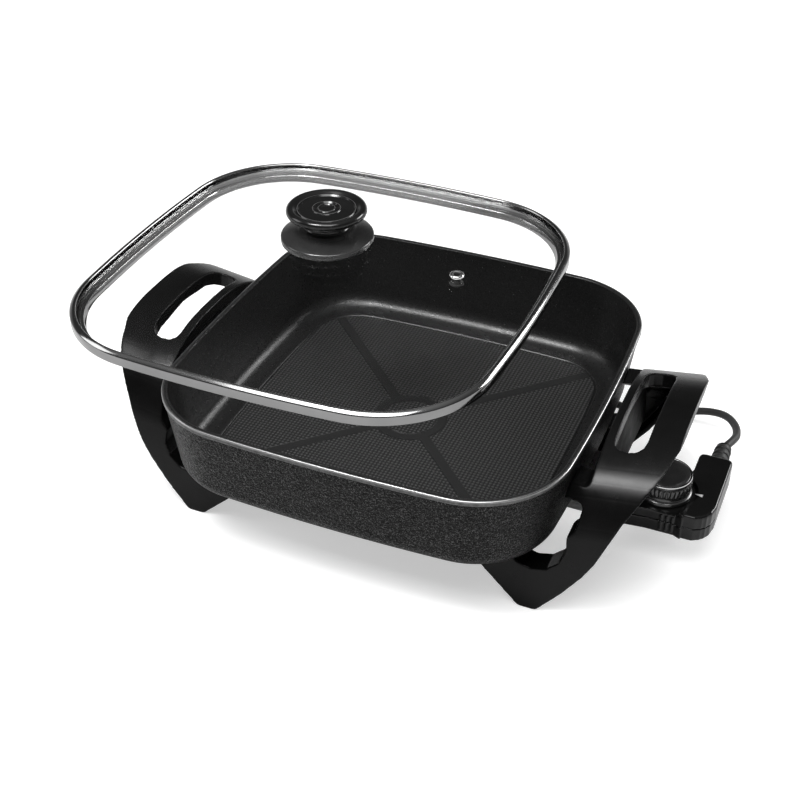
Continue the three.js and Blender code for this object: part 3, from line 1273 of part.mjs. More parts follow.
place('controller_top', controllerTopBody(), glossBlack, controller);
place('controller_base', controllerBaseBody(), glossBlack, controller);
CASE_SCREW_PLACES.forEach((spot, i) => {
  place(`controller_screw_${['inner', 'outer'][i]}`, caseScrewBody(spot), steel, controller);
});
place('probe_tube', probeBody(), steel, controller);
place('contact_front', contactBody(-1), brass, controller);
place('contact_back', contactBody(1), brass, controller);
place('thermostat_block', thermostatBlockBody(), ceramic, controller);
place('thermostat_blade', thermostatBladeBody(), brass, controller);
place('dial', dialBody(), mattBlack, controller);
place('dial_ring', dialRingBody(), steel, controller);
place('dial_shaft', shaftBody(), steel, controller);
place('strain_relief', reliefBody(), rubber, controller);
const stretch = place('cord_stretch', stretchBody(), rubber, controller);
const coil = place('cord_coil', coilBody(), rubber, controller);
const plug = place('plug_body', plugBody(), rubber, controller);
const blades = [-1, 1].map((side) => place(`plug_blade_${side < 0 ? 'front' : 'back'}`,
  bladeBody(side), brass, controller));

// Stand the object, without its free cord, centred on the origin
const object = new THREE.Group();
object.name = 'electric_skillet';
object.add(skillet, lid, controller);
object.updateMatrixWorld(true);
const onCord = [stretch, coil, plug, ...blades];
const bounds = new THREE.Box3();
object.traverse((node) => {
  if (node.isMesh && !onCord.includes(node)) bounds.expandByObject(node);
});
const middle = bounds.getCenter(new THREE.Vector3());
object.position.set(-middle.x, -middle.y, -bounds.min.z);

export default object;
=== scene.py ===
"""Looks of the electric skillet: fine surfaces and materials over its fixed frame."""
import math

import bmesh
import bpy
import numpy as np
from mathutils import Matrix, Vector


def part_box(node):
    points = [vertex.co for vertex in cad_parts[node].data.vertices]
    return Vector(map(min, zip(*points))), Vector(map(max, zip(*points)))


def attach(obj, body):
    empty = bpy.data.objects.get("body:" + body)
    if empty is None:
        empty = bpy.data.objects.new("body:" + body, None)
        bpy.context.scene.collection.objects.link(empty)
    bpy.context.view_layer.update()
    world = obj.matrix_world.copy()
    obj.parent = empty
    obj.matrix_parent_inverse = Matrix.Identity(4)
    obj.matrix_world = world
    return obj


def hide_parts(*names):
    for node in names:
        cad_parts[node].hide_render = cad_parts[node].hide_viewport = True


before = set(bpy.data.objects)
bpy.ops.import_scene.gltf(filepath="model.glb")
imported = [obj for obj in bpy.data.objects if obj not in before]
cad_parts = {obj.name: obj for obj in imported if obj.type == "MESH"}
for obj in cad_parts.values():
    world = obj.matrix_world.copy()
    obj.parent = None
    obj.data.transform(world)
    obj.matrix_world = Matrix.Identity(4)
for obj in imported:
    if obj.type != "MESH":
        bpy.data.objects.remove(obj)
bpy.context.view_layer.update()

# Shapes are in millimetres of the modelling frame; finishes, floor and lamps are in metres.
MM = 0.001
MERGE = 1e-6
HALF_PI = math.pi / 2
SHIFT = Vector((-13.720253, 15.1, 0.0))
LENS, SENSOR = 59.136, 36.0
PAN_HALF, PAN_CORNER, PAN_BOW = 160, 72.4, 7.7
RIM = 124.0
CAMERA_AT = (324.09, -780.47, 555.90 + RIM)
CAMERA_TARGET = (19.657, -66.392, RIM)
LID_CORNER, LID_BOW = 83, 11
SEAT_GAP, LID_LIFT = 0.3, 64.5
LID_AT = Vector((-52.5, -30.2, RIM + SEAT_GAP + LID_LIFT))
GLASS_FOOT, GLASS_THICK, GLASS_RISE, GLASS_POWER = 1.1, 3.6, 29.0, 2.6
KNOB_FOOT, VENT_X, DIAL_X = 34.0, 100.0, 207.5
SIDE_STEPS, CORNER_STEPS = 20, 26
RING_POINTS = 4 * (SIDE_STEPS + CORNER_STEPS)
ROUND_STEPS = 128


# ---------------------------------------------------------------- helpers
def at(x, y, z):
    """A point of the modelling frame, in millimetres, as a point of the row frame."""
    return (Vector((x, y, z)) + SHIFT) * MM


def add_object(name, data):
    obj = bpy.data.objects.new(name, data)
    bpy.context.scene.collection.objects.link(obj)
    return obj


def aim(obj, place, target):
    """Stand a camera or a lamp at a place and turn it to its target."""
    obj.location = place
    obj.rotation_euler = (Vector(target) - Vector(place)).to_track_quat("-Z", "Y").to_euler()


def eased(share):
    """A share from 0 to 1 that starts and ends gently."""
    return share * share * (3 - 2 * share)


def arc(cx, cy, radius, start, end, steps):
    """Points of an arc, both of its ends among them."""
    return [
        (cx + radius * math.cos(start + (end - start) * k / steps),
         cy + radius * math.sin(start + (end - start) * k / steps))
        for k in range(steps + 1)
    ]


def straight(start, end, steps):
    """Points of a straight line, its end among them but not its start."""
    (a, b), (c, d) = start, end
    return [(a + (c - a) * (k / steps), b + (d - b) * (k / steps)) for k in range(1, steps + 1)]


def catmull(points, per_span):
    """Points of a smooth line through the given ones."""
    out = []
    last = len(points) - 1
    for i in range(last):
        p0, p1 = points[max(0, i - 1)], points[i]
        p2, p3 = points[i + 1], points[min(last, i + 2)]
        for k in range(per_span):
            t = k / per_span
            out.append(0.5 * ((2 * p1) + (p2 - p0) * t + (2 * p0 - 5 * p1 + 4 * p2 - p3) * t * t
                              + (3 * p1 - p0 - 3 * p2 + p3) * t ** 3))
    out.append(points[-1])
    return out


def skin(rings, closed_rings=False, caps=True):
    """Vertices and faces between rings of points."""
    count = len(rings[0])
    verts = [p for ring in rings for p in ring]
    faces = []
    spans = len(rings) if closed_rings else len(rings) - 1
    for k in range(spans):
        n = (k + 1) % len(rings)
        for i in range(count):
            j = (i + 1) % count
            faces.append((k * count + i, k * count + j, n * count + j, n * count + i))
    if caps and not closed_rings:
        faces.append(tuple(reversed(range(count))))
        last = (len(rings) - 1) * count
        faces.append(tuple(last + i for i in range(count)))
    return verts, faces


def lathe(profile, steps, place, closed=False, along_y=False):
    """A revolved profile of (radius, height), standing at a place or lying along Y."""
    rings = []
    for r, h in profile:
        ring = []
        for k in range(steps):
            t = 2 * math.pi * k / steps
            x, y = r * math.cos(t), r * math.sin(t)
            ring.append((place + Vector((x, h, -y) if along_y else (x, y, h))) * MM)
        rings.append(ring)
    return skin(rings, closed_rings=closed, caps=not closed)


def bowed_square(corner, bow, inset, z, place):
    """A ring of points on a square with bowed sides and round corners, drawn in by inset."""
    side_radius = PAN_HALF * PAN_HALF / (2 * bow) + bow / 2
    back = side_radius - PAN_HALF
    reach = side_radius - corner
    c = (math.sqrt(2 * reach * reach - back * back) - back) / 2
    turn = math.atan2(c, c + back)
    points = []
    for quarter in range(4):
        spin = Matrix.Rotation(quarter * HALF_PI, 3, "Z")
        for k in range(SIDE_STEPS):
            t = turn * (2 * k / SIDE_STEPS - 1)
            p = Vector((-back + (side_radius - inset) * math.cos(t),
                        (side_radius - inset) * math.sin(t), z))
            points.append((spin @ p + place) * MM)
        for k in range(CORNER_STEPS):
            t = turn + (HALF_PI - 2 * turn) * k / CORNER_STEPS
            p = Vector((c + (corner - inset) * math.cos(t),
                        c + (corner - inset) * math.sin(t), z))
            points.append((spin @ p + place) * MM)
    return points


def pan_ring(inset, z):
    return bowed_square(PAN_CORNER, PAN_BOW, inset, z, SHIFT)


def pan_skin(profile):
    """An open surface round the pan, from a profile of (inset, height)."""
    return skin([pan_ring(inset, z) for inset, z in profile], caps=False)


def lid_ring(inset, z):
    return bowed_square(LID_CORNER, LID_BOW, inset, z, SHIFT + LID_AT)


def clean(obj):
    """Merge doubled points and turn all faces outwards."""
    bm = bmesh.new()
    bm.from_mesh(obj.data)
    bmesh.ops.remove_doubles(bm, verts=bm.verts, dist=MERGE)
    bmesh.ops.recalc_face_normals(bm, faces=bm.faces)
    bm.to_mesh(obj.data)
    bm.free()


def shade(obj, angle):
    """Smooth shading with hard edges kept where faces meet at more than the angle."""
    bm = bmesh.new()
    bm.from_mesh(obj.data)
    limit = math.radians(angle)
    for face in bm.faces:
        face.smooth = True
    for edge in bm.edges:
        edge.smooth = len(edge.link_faces) == 2 and edge.calc_face_angle(0) < limit
    bm.to_mesh(obj.data)
    bm.free()


def fitted(name, surface, nodes, body, material, angle=35):
    """A new piece that moves with a body, and stands for the CAD nodes that are named."""
    verts, faces = surface
    mesh = bpy.data.meshes.new(name)
    mesh.from_pydata([tuple(v) for v in verts], [], faces)
    mesh.update()
    obj = add_object(name, mesh)
    clean(obj)
    shade(obj, angle)
    obj.data.materials.append(material)
    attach(obj, body)
    if nodes:
        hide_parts(*nodes)
    return obj


def paint(obj, material, first, end, count):
    """Give the faces from one ring of a lofted piece up to another their own material."""
    obj.data.materials.append(material)
    slot = len(obj.data.materials) - 1
    for poly in obj.data.polygons:
        if first * count <= poly.index < end * count:
            poly.material_index = slot


def dress(material, *nodes):
    """Give solids that are shown as they are their material."""
    for name in nodes:
        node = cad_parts[name]
        node.data.materials.clear()
        node.data.materials.append(material)


# ---------------------------------------------------------------- node trees
class Tree:
    """A node tree, with short calls for what the finishes, the floor and the sky need."""

    def __init__(self, tree):
        self.tree = tree

    def link(self, a, b):
        self.tree.links.new(a, b)

    def node(self, kind, inputs, **props):
        """A new node; each input is set to a value, or linked where an output is given."""
        node = self.tree.nodes.new(kind)
        for key, prop in props.items():
            setattr(node, key, prop)
        for key, source in inputs.items():
            if hasattr(source, "is_output"):
                self.link(source, node.inputs[key])
            else:
                node.inputs[key].default_value = source
        return node

    def value(self, kind, inputs, output=0, **props):
        return self.node(kind, inputs, **props).outputs[output]

    def math(self, operation, a, b=0.0, c=0.0):
        return self.value("ShaderNodeMath", {0: a, 1: b, 2: c}, operation=operation)

    def range(self, source, low, high, least, most):
        """The source's span from low to high as the span from least to most."""
        return self.value("ShaderNodeMapRange", {
            "Value": source, "From Min": low, "From Max": high,
            "To Min": least, "To Max": most}, "Result")

    def ramp(self, source, stops):
        """Grey tones by the source's value, from (position, tone) stops."""
        node = self.tree.nodes.new("ShaderNodeValToRGB")
        elements = node.color_ramp.elements
        while len(elements) < len(stops):
            elements.new(0.5)
        for element, (position, tone) in zip(elements, stops):
            element.position = position
            element.color = (tone, tone, tone, 1.0)
        self.link(source, node.inputs["Fac"])
        return node.outputs["Color"]


class Finish(Tree):
    """A material's node tree round its Principled shader."""

    def __init__(self, name, **values):
        self.material = bpy.data.materials.new(name)
        self.material.use_nodes = True
        super().__init__(self.material.node_tree)
        self.shader = self.tree.nodes["Principled BSDF"]
        self.coords = self.value("ShaderNodeTexCoord", {}, "Object")
        self.bump = None
        for key, number in values.items():
            self.shader.inputs[key.replace("_", " ")].default_value = number

    def noise(self, scale, detail, rough=0.55, coords=None):
        return self.value("ShaderNodeTexNoise", {
            "Vector": coords or self.coords, "Scale": scale, "Detail": detail,
            "Roughness": rough}, "Fac")

    def cells(self, scale):
        return self.value("ShaderNodeTexVoronoi", {"Vector": self.coords, "Scale": scale},
                          "Distance", feature="SMOOTH_F1")

    def axis(self, name):
        return self.value("ShaderNodeSeparateXYZ", {0: self.coords}, name)

    def grey(self, source, low, high, dark, light):
        """Base colour from dark to light, where the source goes from low to high."""
        self.link(self.ramp(source, [(low, dark), (high, light)]),
                  self.shader.inputs["Base Color"])

    def rough(self, source, low, high, least, most):
        """Roughness from least to most, where the source goes from low to high."""
        self.link(self.range(source, low, high, least, most), self.shader.inputs["Roughness"])

    def add_bump(self, height, distance, strength=1.0):
        """Lay one more relief over those before it."""
        inputs = {"Height": height, "Distance": distance, "Strength": strength}
        if self.bump is not None:
            inputs["Normal"] = self.bump
        self.bump = self.value("ShaderNodeBump", inputs, "Normal")
        self.link(self.bump, self.shader.inputs["Normal"])


# ---------------------------------------------------------------- finishes
def moulded(name, tone, rough, grain=0.000012, shine=0.5):
    """Black moulded plastic: even tone, faint grain and handling haze in its gloss."""
    n = Finish(name, IOR=1.5, Specular_IOR_Level=shine)
    n.grey(n.noise(55, 4), 0.3, 0.75, tone * 0.8, tone * 1.25)
    n.rough(n.noise(38, 5, 0.6), 0.3, 0.75, rough * 0.8, rough * 1.3)
    n.add_bump(n.noise(1400, 3), grain)
    return n.material


def polished(name, tone, rough):
    """Bright steel with fine drawing marks."""
    n = Finish(name, Metallic=1.0)
    n.grey(n.noise(30, 4), 0.3, 0.75, tone * 0.9, tone)
    stretched = n.value("ShaderNodeMapping", {"Vector": n.coords, "Scale": (40, 40, 2600)},
                        "Vector")
    marks = n.noise(1.0, 4, 0.6, stretched)
    n.rough(marks, 0.25, 0.8, rough * 0.7, rough * 1.4)
    n.add_bump(marks, 0.000004)
    return n.material


def drawn_steel(name, tone, rough):
    """Smooth rolled steel: even gloss with slow waves and a breath of haze."""
    n = Finish(name, Metallic=1.0)
    n.grey(n.noise(26, 4), 0.3, 0.75, tone * 0.88, tone * 1.06)
    n.rough(n.noise(18, 4), 0.3, 0.75, rough * 0.8, rough * 1.3)
    n.add_bump(n.noise(60, 2), 0.00002, 0.5)
    return n.material


def rubber_like(name, tone, rough):
    """Matt black rubber with a fine dusty grain."""
    n = Finish(name, IOR=1.48)
    n.grey(n.noise(90, 5), 0.25, 0.8, tone * 0.75, tone * 1.3)
    n.rough(n.noise(160, 4), 0.3, 0.7, rough * 0.9, rough * 1.15)
    n.add_bump(n.noise(2200, 2), 0.00002)
    return n.material


def pan_outside():
    """Cast wall: black with a pebbled, orange-peel skin that glints on its crests."""
    n = Finish("pan_cast_skin", IOR=1.5)
    flecks = n.range(n.noise(1100, 2), 0.52, 0.7, 0.04, 0.75)
    n.link(flecks, n.shader.inputs["Specular IOR Level"])
    broad = n.noise(420, 4, 0.6)
    n.grey(broad, 0.35, 0.72, 0.002, 0.014)
    n.rough(n.noise(260, 4), 0.3, 0.75, 0.26, 0.42)
    n.add_bump(broad, 0.0008)
    n.add_bump(n.cells(640), 0.0004, 0.9)
    n.add_bump(n.noise(1300, 3), 0.00012, 0.9)
    return n.material


def pan_bead():
    """Bead under the rim: coating rubbed thin over the metal, darker in its hollows."""
    n = Finish("pan_bead_metal", IOR=1.5, Metallic=0.85)
    n.grey(n.noise(240, 5, 0.65), 0.3, 0.72, 0.05, 0.15)
    n.rough(n.noise(500, 4), 0.3, 0.7, 0.3, 0.5)
    n.add_bump(n.noise(700, 4), 0.00008, 0.8)
    return n.material


def cast_under():
    """Bare blackened casting, rougher than the walls."""
    n = Finish("pan_under_cast", IOR=1.5)
    n.grey(n.noise(180, 5), 0.3, 0.75, 0.014, 0.03)
    n.rough(n.noise(90, 4), 0.3, 0.75, 0.5, 0.7)
    n.add_bump(n.noise(800, 4), 0.00012, 0.8)
    return n.material


def pan_inside():
    """Coated inside: satin black with a fine speckle."""
    n = Finish("pan_coating", IOR=1.5, Specular_IOR_Level=0.35)
    n.grey(n.noise(1500, 2), 0.45, 0.72, 0.006, 0.016)
    n.rough(n.noise(500, 3), 0.3, 0.75, 0.25, 0.38)
    n.add_bump(n.noise(1000, 3), 0.00009, 0.8)
    return n.material


def pan_field():
    """Cooking field: small raised lozenges, left smooth along two crossing bands and a ring."""
    pitch, diagonal = 0.0042, 0.7071
    ring_radius, ring_half, band_half, soft = 0.026, 0.0034, 0.0052, 0.001
    n = Finish("pan_field", IOR=1.5, Specular_IOR_Level=0.4)
    u = n.math("SUBTRACT", n.axis("X"), SHIFT.x * MM)
    v = n.math("SUBTRACT", n.axis("Y"), SHIFT.y * MM)
    plus, minus = n.math("ADD", u, v), n.math("SUBTRACT", u, v)
    wave = 2 * math.pi / pitch * diagonal
    lozenges = n.math("MULTIPLY", *[n.math("SINE", n.math("MULTIPLY", way, wave))
                                    for way in (plus, minus)])
    raised = n.range(lozenges, 0.05, 0.45, 0.0, 1.0)
    radius = n.math("SQRT", n.math("ADD", n.math("MULTIPLY", u, u), n.math("MULTIPLY", v, v)))
    from_ring = n.math("ABSOLUTE", n.math("SUBTRACT", radius, ring_radius))
    off_ring = n.range(from_ring, ring_half, ring_half + soft, 0.0, 1.0)
    from_bands = n.math("MINIMUM", n.math("ABSOLUTE", plus), n.math("ABSOLUTE", minus))
    off_bands = n.range(from_bands, band_half, band_half + soft, 0.0, 1.0)
    past_ring = n.range(radius, ring_radius - 2 * soft, ring_radius, 0.0, 1.0)
    off_bands = n.math("MAXIMUM", off_bands, n.math("SUBTRACT", 1.0, past_ring))
    patterned = n.math("MULTIPLY", off_ring, off_bands)
    height = n.math("MULTIPLY", raised, patterned)
    # The raised lozenges are painted lighter than the ground between them: painted sheen on their
    # tops.
    painted_sheen = n.math("MULTIPLY", height, n.range(n.noise(1500, 2), 0.35, 0.7, 0.5, 1.3))
    n.grey(painted_sheen, 0.05, 1.0, 0.011, 0.066)
    n.rough(n.noise(500, 3), 0.3, 0.75, 0.3, 0.46)
    n.add_bump(height, 0.0012)
    n.add_bump(patterned, 0.0006, 0.8)
    n.add_bump(n.noise(1500, 3), 0.00008, 0.7)
    return n.material


def clear_glass():
    """Thin clear glass: it lets the view straight through and mirrors what its angle gives."""
    n = Finish("lid_clear_glass", Metallic=1.0, Base_Color=(1, 1, 1, 1))
    n.rough(n.noise(12, 4), 0.4, 0.8, 0.02, 0.05)
    turned = n.value("ShaderNodeLayerWeight", {"Blend": 0.5}, "Facing")
    shine = n.math("MULTIPLY_ADD", n.math("POWER", turned, 5.0), 0.8, 0.003)
    smear = n.range(n.noise(9, 3), 0.35, 0.75, 0.7, 1.0)
    n.link(n.math("MULTIPLY", shine, smear), n.shader.inputs["Alpha"])
    return n.material


MAT = {
    "wall": pan_outside(),
    "under": cast_under(),
    "inside": pan_inside(),
    "field": pan_field(),
    "rim": polished("pan_rim_metal", 0.34, 0.3),
    "bead": pan_bead(),
    "bracket": moulded("bracket_black", 0.003, 0.24, 0.00001, 0.15),
    "knob": moulded("knob_black", 0.005, 0.15, 0.000006, 0.4),
    # The aprons' black is darker and duller than the brackets': painted shade inside the handles.
    "apron": moulded("apron_painted_shade", 0.002, 0.5, 0.00001, 0.05),
    # The flange gets a lighter black than the grip: a painted reflection on its cone.
    "flange": moulded("flange_painted_reflection", 0.018, 0.22, 0.000006, 0.6),
    # Painted highlight, laid on the crests of the knob's ridge lines.
    "edge": moulded("ridge_painted_highlight", 0.05, 0.3, 0.000006, 0.4),
    "case": moulded("case_black", 0.004, 0.11, 0.000006, 0.3),
    "dial": moulded("dial_black", 0.012, 0.22, 0.00001, 0.8),
    "steel": drawn_steel("ring_steel", 0.27, 0.12),
    # Painted shade for the floors of the lid band's seat.
    "shadow": moulded("seat_painted_shade", 0.01, 0.4, 0.00001, 0.3),
    # Bright metal for the bright parts; on the lid band's ridges it is a painted highlight.
    "bright": polished("bright_metal_and_painted_highlight", 0.8, 0.12),
    "screw": polished("screw_metal", 0.6, 0.3),
    "element": polished("element_sheath", 0.3, 0.42),
    "pointer": moulded("pointer_grey", 0.5, 0.35),
    "cord": rubber_like("cord_sheath", 0.014, 0.5),
    "glass": clear_glass(),
}


# ---------------------------------------------------------------- cord
CORD_X, CORD_Z, CORD_R = 236.6, 40.5, 3.2
CORD_START = (55, 62, 69, 75)
CORD_ROUTE = [
    (238.2, 86, 40.2), (240.6, 96, 38.7), (241.9, 106.9, 36.4), (239.8, 119.9, 33.8),
    (235.6, 131, 31), (230.3, 140.4, 28.2), (223.8, 147.7, 25.2), (216.4, 152.7, 22),
    (208.9, 156, 18.8), (201.6, 157.6, 15.8), (193.6, 158, 13), (185, 157, 10.4),
    (175, 155, 7.8), (164, 153.4, 5.6), (152.6, 153.4, 4.2), (141, 155.4, 3.5),
    (129.6, 158.8, 3.3), (118, 163.2, 3.3), (106, 168.6, 3.3), (94, 174.4, 3.3),
]
COIL_X, COIL_Y, COIL_R = 60.0, 220.0, 39.0
COIL_PITCH, COIL_RISE, LAYER_TURNS = 7.4, 7.4, 0.75
COIL_TAIL, COIL_STEPS = 34.0, 24
FLOOR_GAP, PLUG_GAP, PLUG_HOLD = 0.1, 0.3, 8
COIL_LOW = CORD_R + FLOOR_GAP
PLUG_LOW = 8.6 + FLOOR_GAP
PLUG_TAIL = COIL_X - COIL_TAIL - PLUG_GAP


def cord_points():
    """The cord's way: out of its relief, down to the floor, round the coil and to the plug."""
    front = COIL_Y - COIL_R
    points = [(CORD_X, y, CORD_Z) for y in CORD_START]
    points += CORD_ROUTE
    points += [(82, 180.2, COIL_LOW), (70, front, COIL_LOW)]
    turns = 2 * LAYER_TURNS + 0.5
    steps = int(turns * COIL_STEPS)
    inner = COIL_R - COIL_PITCH * turns / 2
    for k in range(steps + 1):
        turn = k / COIL_STEPS
        radius = inner + COIL_PITCH * abs(turn - turns / 2)
        climb = eased(min(1.0, max(0.0, 2 * (turn - LAYER_TURNS))))
        t = -HALF_PI - 2 * math.pi * turn
        points.append((COIL_X + radius * math.cos(t), COIL_Y + radius * math.sin(t),
                       COIL_LOW + COIL_RISE * climb))
    points += [(COIL_X - COIL_TAIL / 2, front, (COIL_LOW + COIL_RISE + PLUG_LOW) / 2),
               (COIL_X - COIL_TAIL, front, PLUG_LOW),
               (PLUG_TAIL - PLUG_HOLD, front, PLUG_LOW)]
    return [at(*p) for p in points]


def make_cord():
    """The cord as one round curve; gives back its length."""
    line = catmull(cord_points(), 5)
    curve = bpy.data.curves.new("cord", "CURVE")
    curve.dimensions = "3D"
    curve.bevel_depth = CORD_R * MM
    curve.bevel_resolution = 6
    curve.use_fill_caps = True
    spline = curve.splines.new("POLY")
    spline.points.add(len(line) - 1)
    for point, p in zip(spline.points, line):
        point.co = (*p, 1.0)
    spline.use_smooth = True
    obj = add_object("cord", curve)
    obj.data.materials.append(MAT["cord"])
    length = sum((b - a).length for a, b in zip(line, line[1:]))
    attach(obj, "controller")
    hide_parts("cord_stretch", "cord_coil")
    return length


# ---------------------------------------------------------------- pan
def make_pan():
    """The pan in five pieces: wall, underside, rim, lining and cooking field."""
    base, fillet = 53, 16.6
    wall_foot, wall_top = (7.8, 69.6), (1.1, 119.8)
    outside = [(25.4, 53.02)]
    for k in range(13):
        t = HALF_PI * k / 12
        outside.append((wall_foot[0] + fillet * (1 - math.sin(t)),
                        base + fillet * (1 - math.cos(t))))
    outside += straight(wall_foot, wall_top, 8)
    fitted("pan_wall", pan_skin(outside), [], "skillet", MAT["wall"])
    make_underside()

    bead = [wall_top, (0.5, 119.95), (0.12, 120.4), (0, 121.0), (0, 122.4)]
    bead += [(1.3 - p[0], 122.7 + p[1]) for p in arc(0, 0, 1.3, 0.1, HALF_PI, 6)]
    bead += [(2.0, 124.0), (3.4, 123.98)]
    bead += [(3.7 + 0.9 * (1 - math.cos(t)), 123.98 - 0.9 * math.sin(t) * 0.8)
             for t in (0.4, 0.8, 1.2, HALF_PI)]
    rim = fitted("pan_rim", pan_skin(bead), [], "skillet", MAT["bead"], 60)
    paint(rim, MAT["rim"], 5, 10, RING_POINTS)
    paint(rim, MAT["inside"], 12, len(bead), RING_POINTS)

    lining_top, lining_foot, hollow = (4.6, bead[-1][1]), (11.2, 73), 15
    inside = [bead[-1]] + straight(lining_top, lining_foot, 8)
    for k in range(1, 15):
        t = HALF_PI * k / 14
        inside.append((lining_foot[0] + hollow * (1 - math.cos(t)),
                       lining_foot[1] - hollow * math.sin(t)))
    groove, floor = 30.0, 58.0
    field = groove + 2.4
    inside += [(groove - 0.4, floor), (groove, 57.85), (groove + 0.6, 57.3),
               (groove + 1.4, 57.25), (groove + 2.0, 57.8), (field, floor)]
    fitted("pan_lining", pan_skin(inside), [], "skillet", MAT["inside"])

    rows = [[(p * (1 - s)) + at(0, 0, floor) * s for p in pan_ring(field, floor)] for s in
            (0.0, 0.1, 0.25, 0.4, 0.6, 0.8, 0.96)]
    verts, faces = skin(rows, caps=False)
    middle = (len(rows) - 1) * RING_POINTS
    faces.append(tuple(middle + i for i in range(RING_POINTS)))
    fitted("pan_cooking_field", (verts, faces), [], "skillet", MAT["field"])


def make_underside():
    """The flat underside with its ridge, bosses and socket, taken from the cast solid."""
    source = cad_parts["skillet_pan"].data
    level = 53.05 * MM
    kept = [p for p in source.polygons
            if all(source.vertices[v].co.z < level for v in p.vertices)]
    used = sorted({v for p in kept for v in p.vertices})
    place = {v: i for i, v in enumerate(used)}
    surface = ([source.vertices[v].co for v in used],
               [tuple(place[v] for v in p.vertices) for p in kept])
    fitted("pan_underside", surface, ["skillet_pan"], "skillet", MAT["under"],
           25)


# ---------------------------------------------------------------- lid
def make_lid():
    """The glass dome and the steel band round it."""
    edge = lid_ring(1.1, 0)
    centre = (SHIFT + LID_AT) * MM

    def ring(share, lift):
        h = (GLASS_FOOT + lift + GLASS_RISE * (1 - share ** GLASS_POWER)) * MM
        return [centre + (p - centre) * share + Vector((0, 0, h)) for p in edge]

    shares = [0.1] + [math.sqrt(k / 26) for k in range(1, 27)]
    rings = [ring(s, 0) for s in shares] + [ring(s, GLASS_THICK) for s in reversed(shares)]
    fitted("lid_dome", skin(rings), ["lid_glass"], "lid", MAT["glass"], 50)

    section = [(0.6, 0.0), (0.18, 0.18), (0, 0.6), (0, 4.5), (0, 6.5), (0.12, 7.0),
               (0.5, 7.45), (1.5, 8.22), (2.4, 8.8), (2.9, 9.0), (3.4, 9.05), (3.9, 8.93),
               (4.4, 8.55), (4.7, 8.0), (4.7, 7.5), (3.2, 7.7), (1.4, 6.9), (0.8, 6.0),
               (0.8, 0.8), (2.6, 0.8), (3.0, 1.05), (3.5, 1.05), (3.9, 0.8), (5.9, 0.8),
               (6.3, 1.05), (6.8, 1.05), (7.2, 0.8), (9.1, 0.8), (9.3, 0.6),
               (10.5, -4.3), (10.3, -4.5), (9.9, -4.5), (9.7, -4.3), (8.6, -0.1), (8.4, 0.0)]
    band = fitted("lid_band", skin([lid_ring(i, z) for i, z in section], closed_rings=True),
                  ["lid_ring"], "lid", MAT["steel"], 50)
    # Painted lines run round the seat that is seen through the glass: painted shade on the floors
    # between the ridges, and a painted highlight on the ridge tops and the outer edge.
    for first, material in ((22, "shadow"), (26, "shadow"), (20, "bright"), (24, "bright"),
                            (27, "bright")):
        paint(band, MAT[material], first, first + 1, RING_POINTS)


def make_knob():
    """The knob's flared foot and the grip disc over it."""
    foot = SHIFT + LID_AT + Vector((0, 0, KNOB_FOOT))
    base = [(33.0, 0), (33.5, 0.4), (33.6, 1.0), (33.6, 3.9), (33.3, 4.5), (32.6, 4.85),
            (27, 6.9), (21.6, 8.7), (20.6, 9.2), (19.4, 10.3), (18.4, 10.6), (2.8, 10.6),
            (2.8, 0.0), (8, 0), (8, 6.4), (18.4, 6.4), (31.2, 3.5), (31.2, 0.0)]
    fitted("knob_flange", lathe(base, ROUND_STEPS, foot, closed=True), ["knob_base"], "lid",
           MAT["flange"], 40)
    grip = [(0, 20.3), (2.8, 20.3), (2.8, 10.9), (16.3, 10.9), (16.7, 11.2), (16.6, 11.6),
            (16.0, 12.2), (15.9, 13.4), (16.0, 15.2), (16.7, 16.6), (19, 17.9), (22.5, 18.9),
            (24.9, 19.7)]
    grip += arc(25.7, 23.3, 3.3, -1.2, 1.95, 14)
    grip += [(23.7, 25.9), (22.8, 25.2)]
    ridges = []
    for radius in (20.9, 9.9, 6.0):
        ridges.append(len(grip))
        grip += [(radius + 0.75, 24.5), (radius + 0.35, 25.0), (radius - 0.15, 25.1),
                 (radius - 0.6, 24.7), (radius - 1.3, 24.1)]
    grip += [(3.0, 24.0), (0, 24.3)]
    disc = fitted("knob_disc", lathe(grip, ROUND_STEPS, foot), ["knob_grip"], "lid",
                  MAT["knob"], 40)
    # The ridges' crests are painted lighter: a painted highlight that draws the ring lines.
    for first in ridges:
        paint(disc, MAT["edge"], first + 1, first + 2, ROUND_STEPS)


def make_vent():
    """Steam eyelet: a rolled steel collar on the glass, its neck, and the lip below."""
    level = GLASS_FOOT + GLASS_RISE * (1 - (VENT_X / PAN_HALF) ** GLASS_POWER)
    place = SHIFT + LID_AT + Vector((VENT_X, 0, level))
    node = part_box("vent_grommet")
    low, high = (node[0][2] / MM - place.z), (node[1][2] / MM - place.z)
    profile = [(5.2, high - 1.9), (5.2, high - 0.9), (4.9, high - 0.3), (4.3, high),
               (3.6, high - 0.02), (2.9, high - 0.2), (2.5, high - 0.6), (2.3, high - 2.2),
               (2.2, low + 1.2), (2.3, low + 0.4), (3.4, low), (4.6, low + 0.1),
               (5.2, low + 0.7), (5.0, low + 1.5), (3.4, low + 1.9), (3.4, high - 2.2),
               (4.6, high - 2.15)]
    steps = 64
    eyelet = fitted("vent_eyelet", lathe(profile, steps, place, closed=True),
                    ["vent_grommet"], "lid", MAT["bright"], 40)
    # Black rubber is painted over the bore and the lip below: painted shade for the hole's dark
    # centre, and a black grommet under the glass.
    paint(eyelet, MAT["cord"], 5, 16, steps)


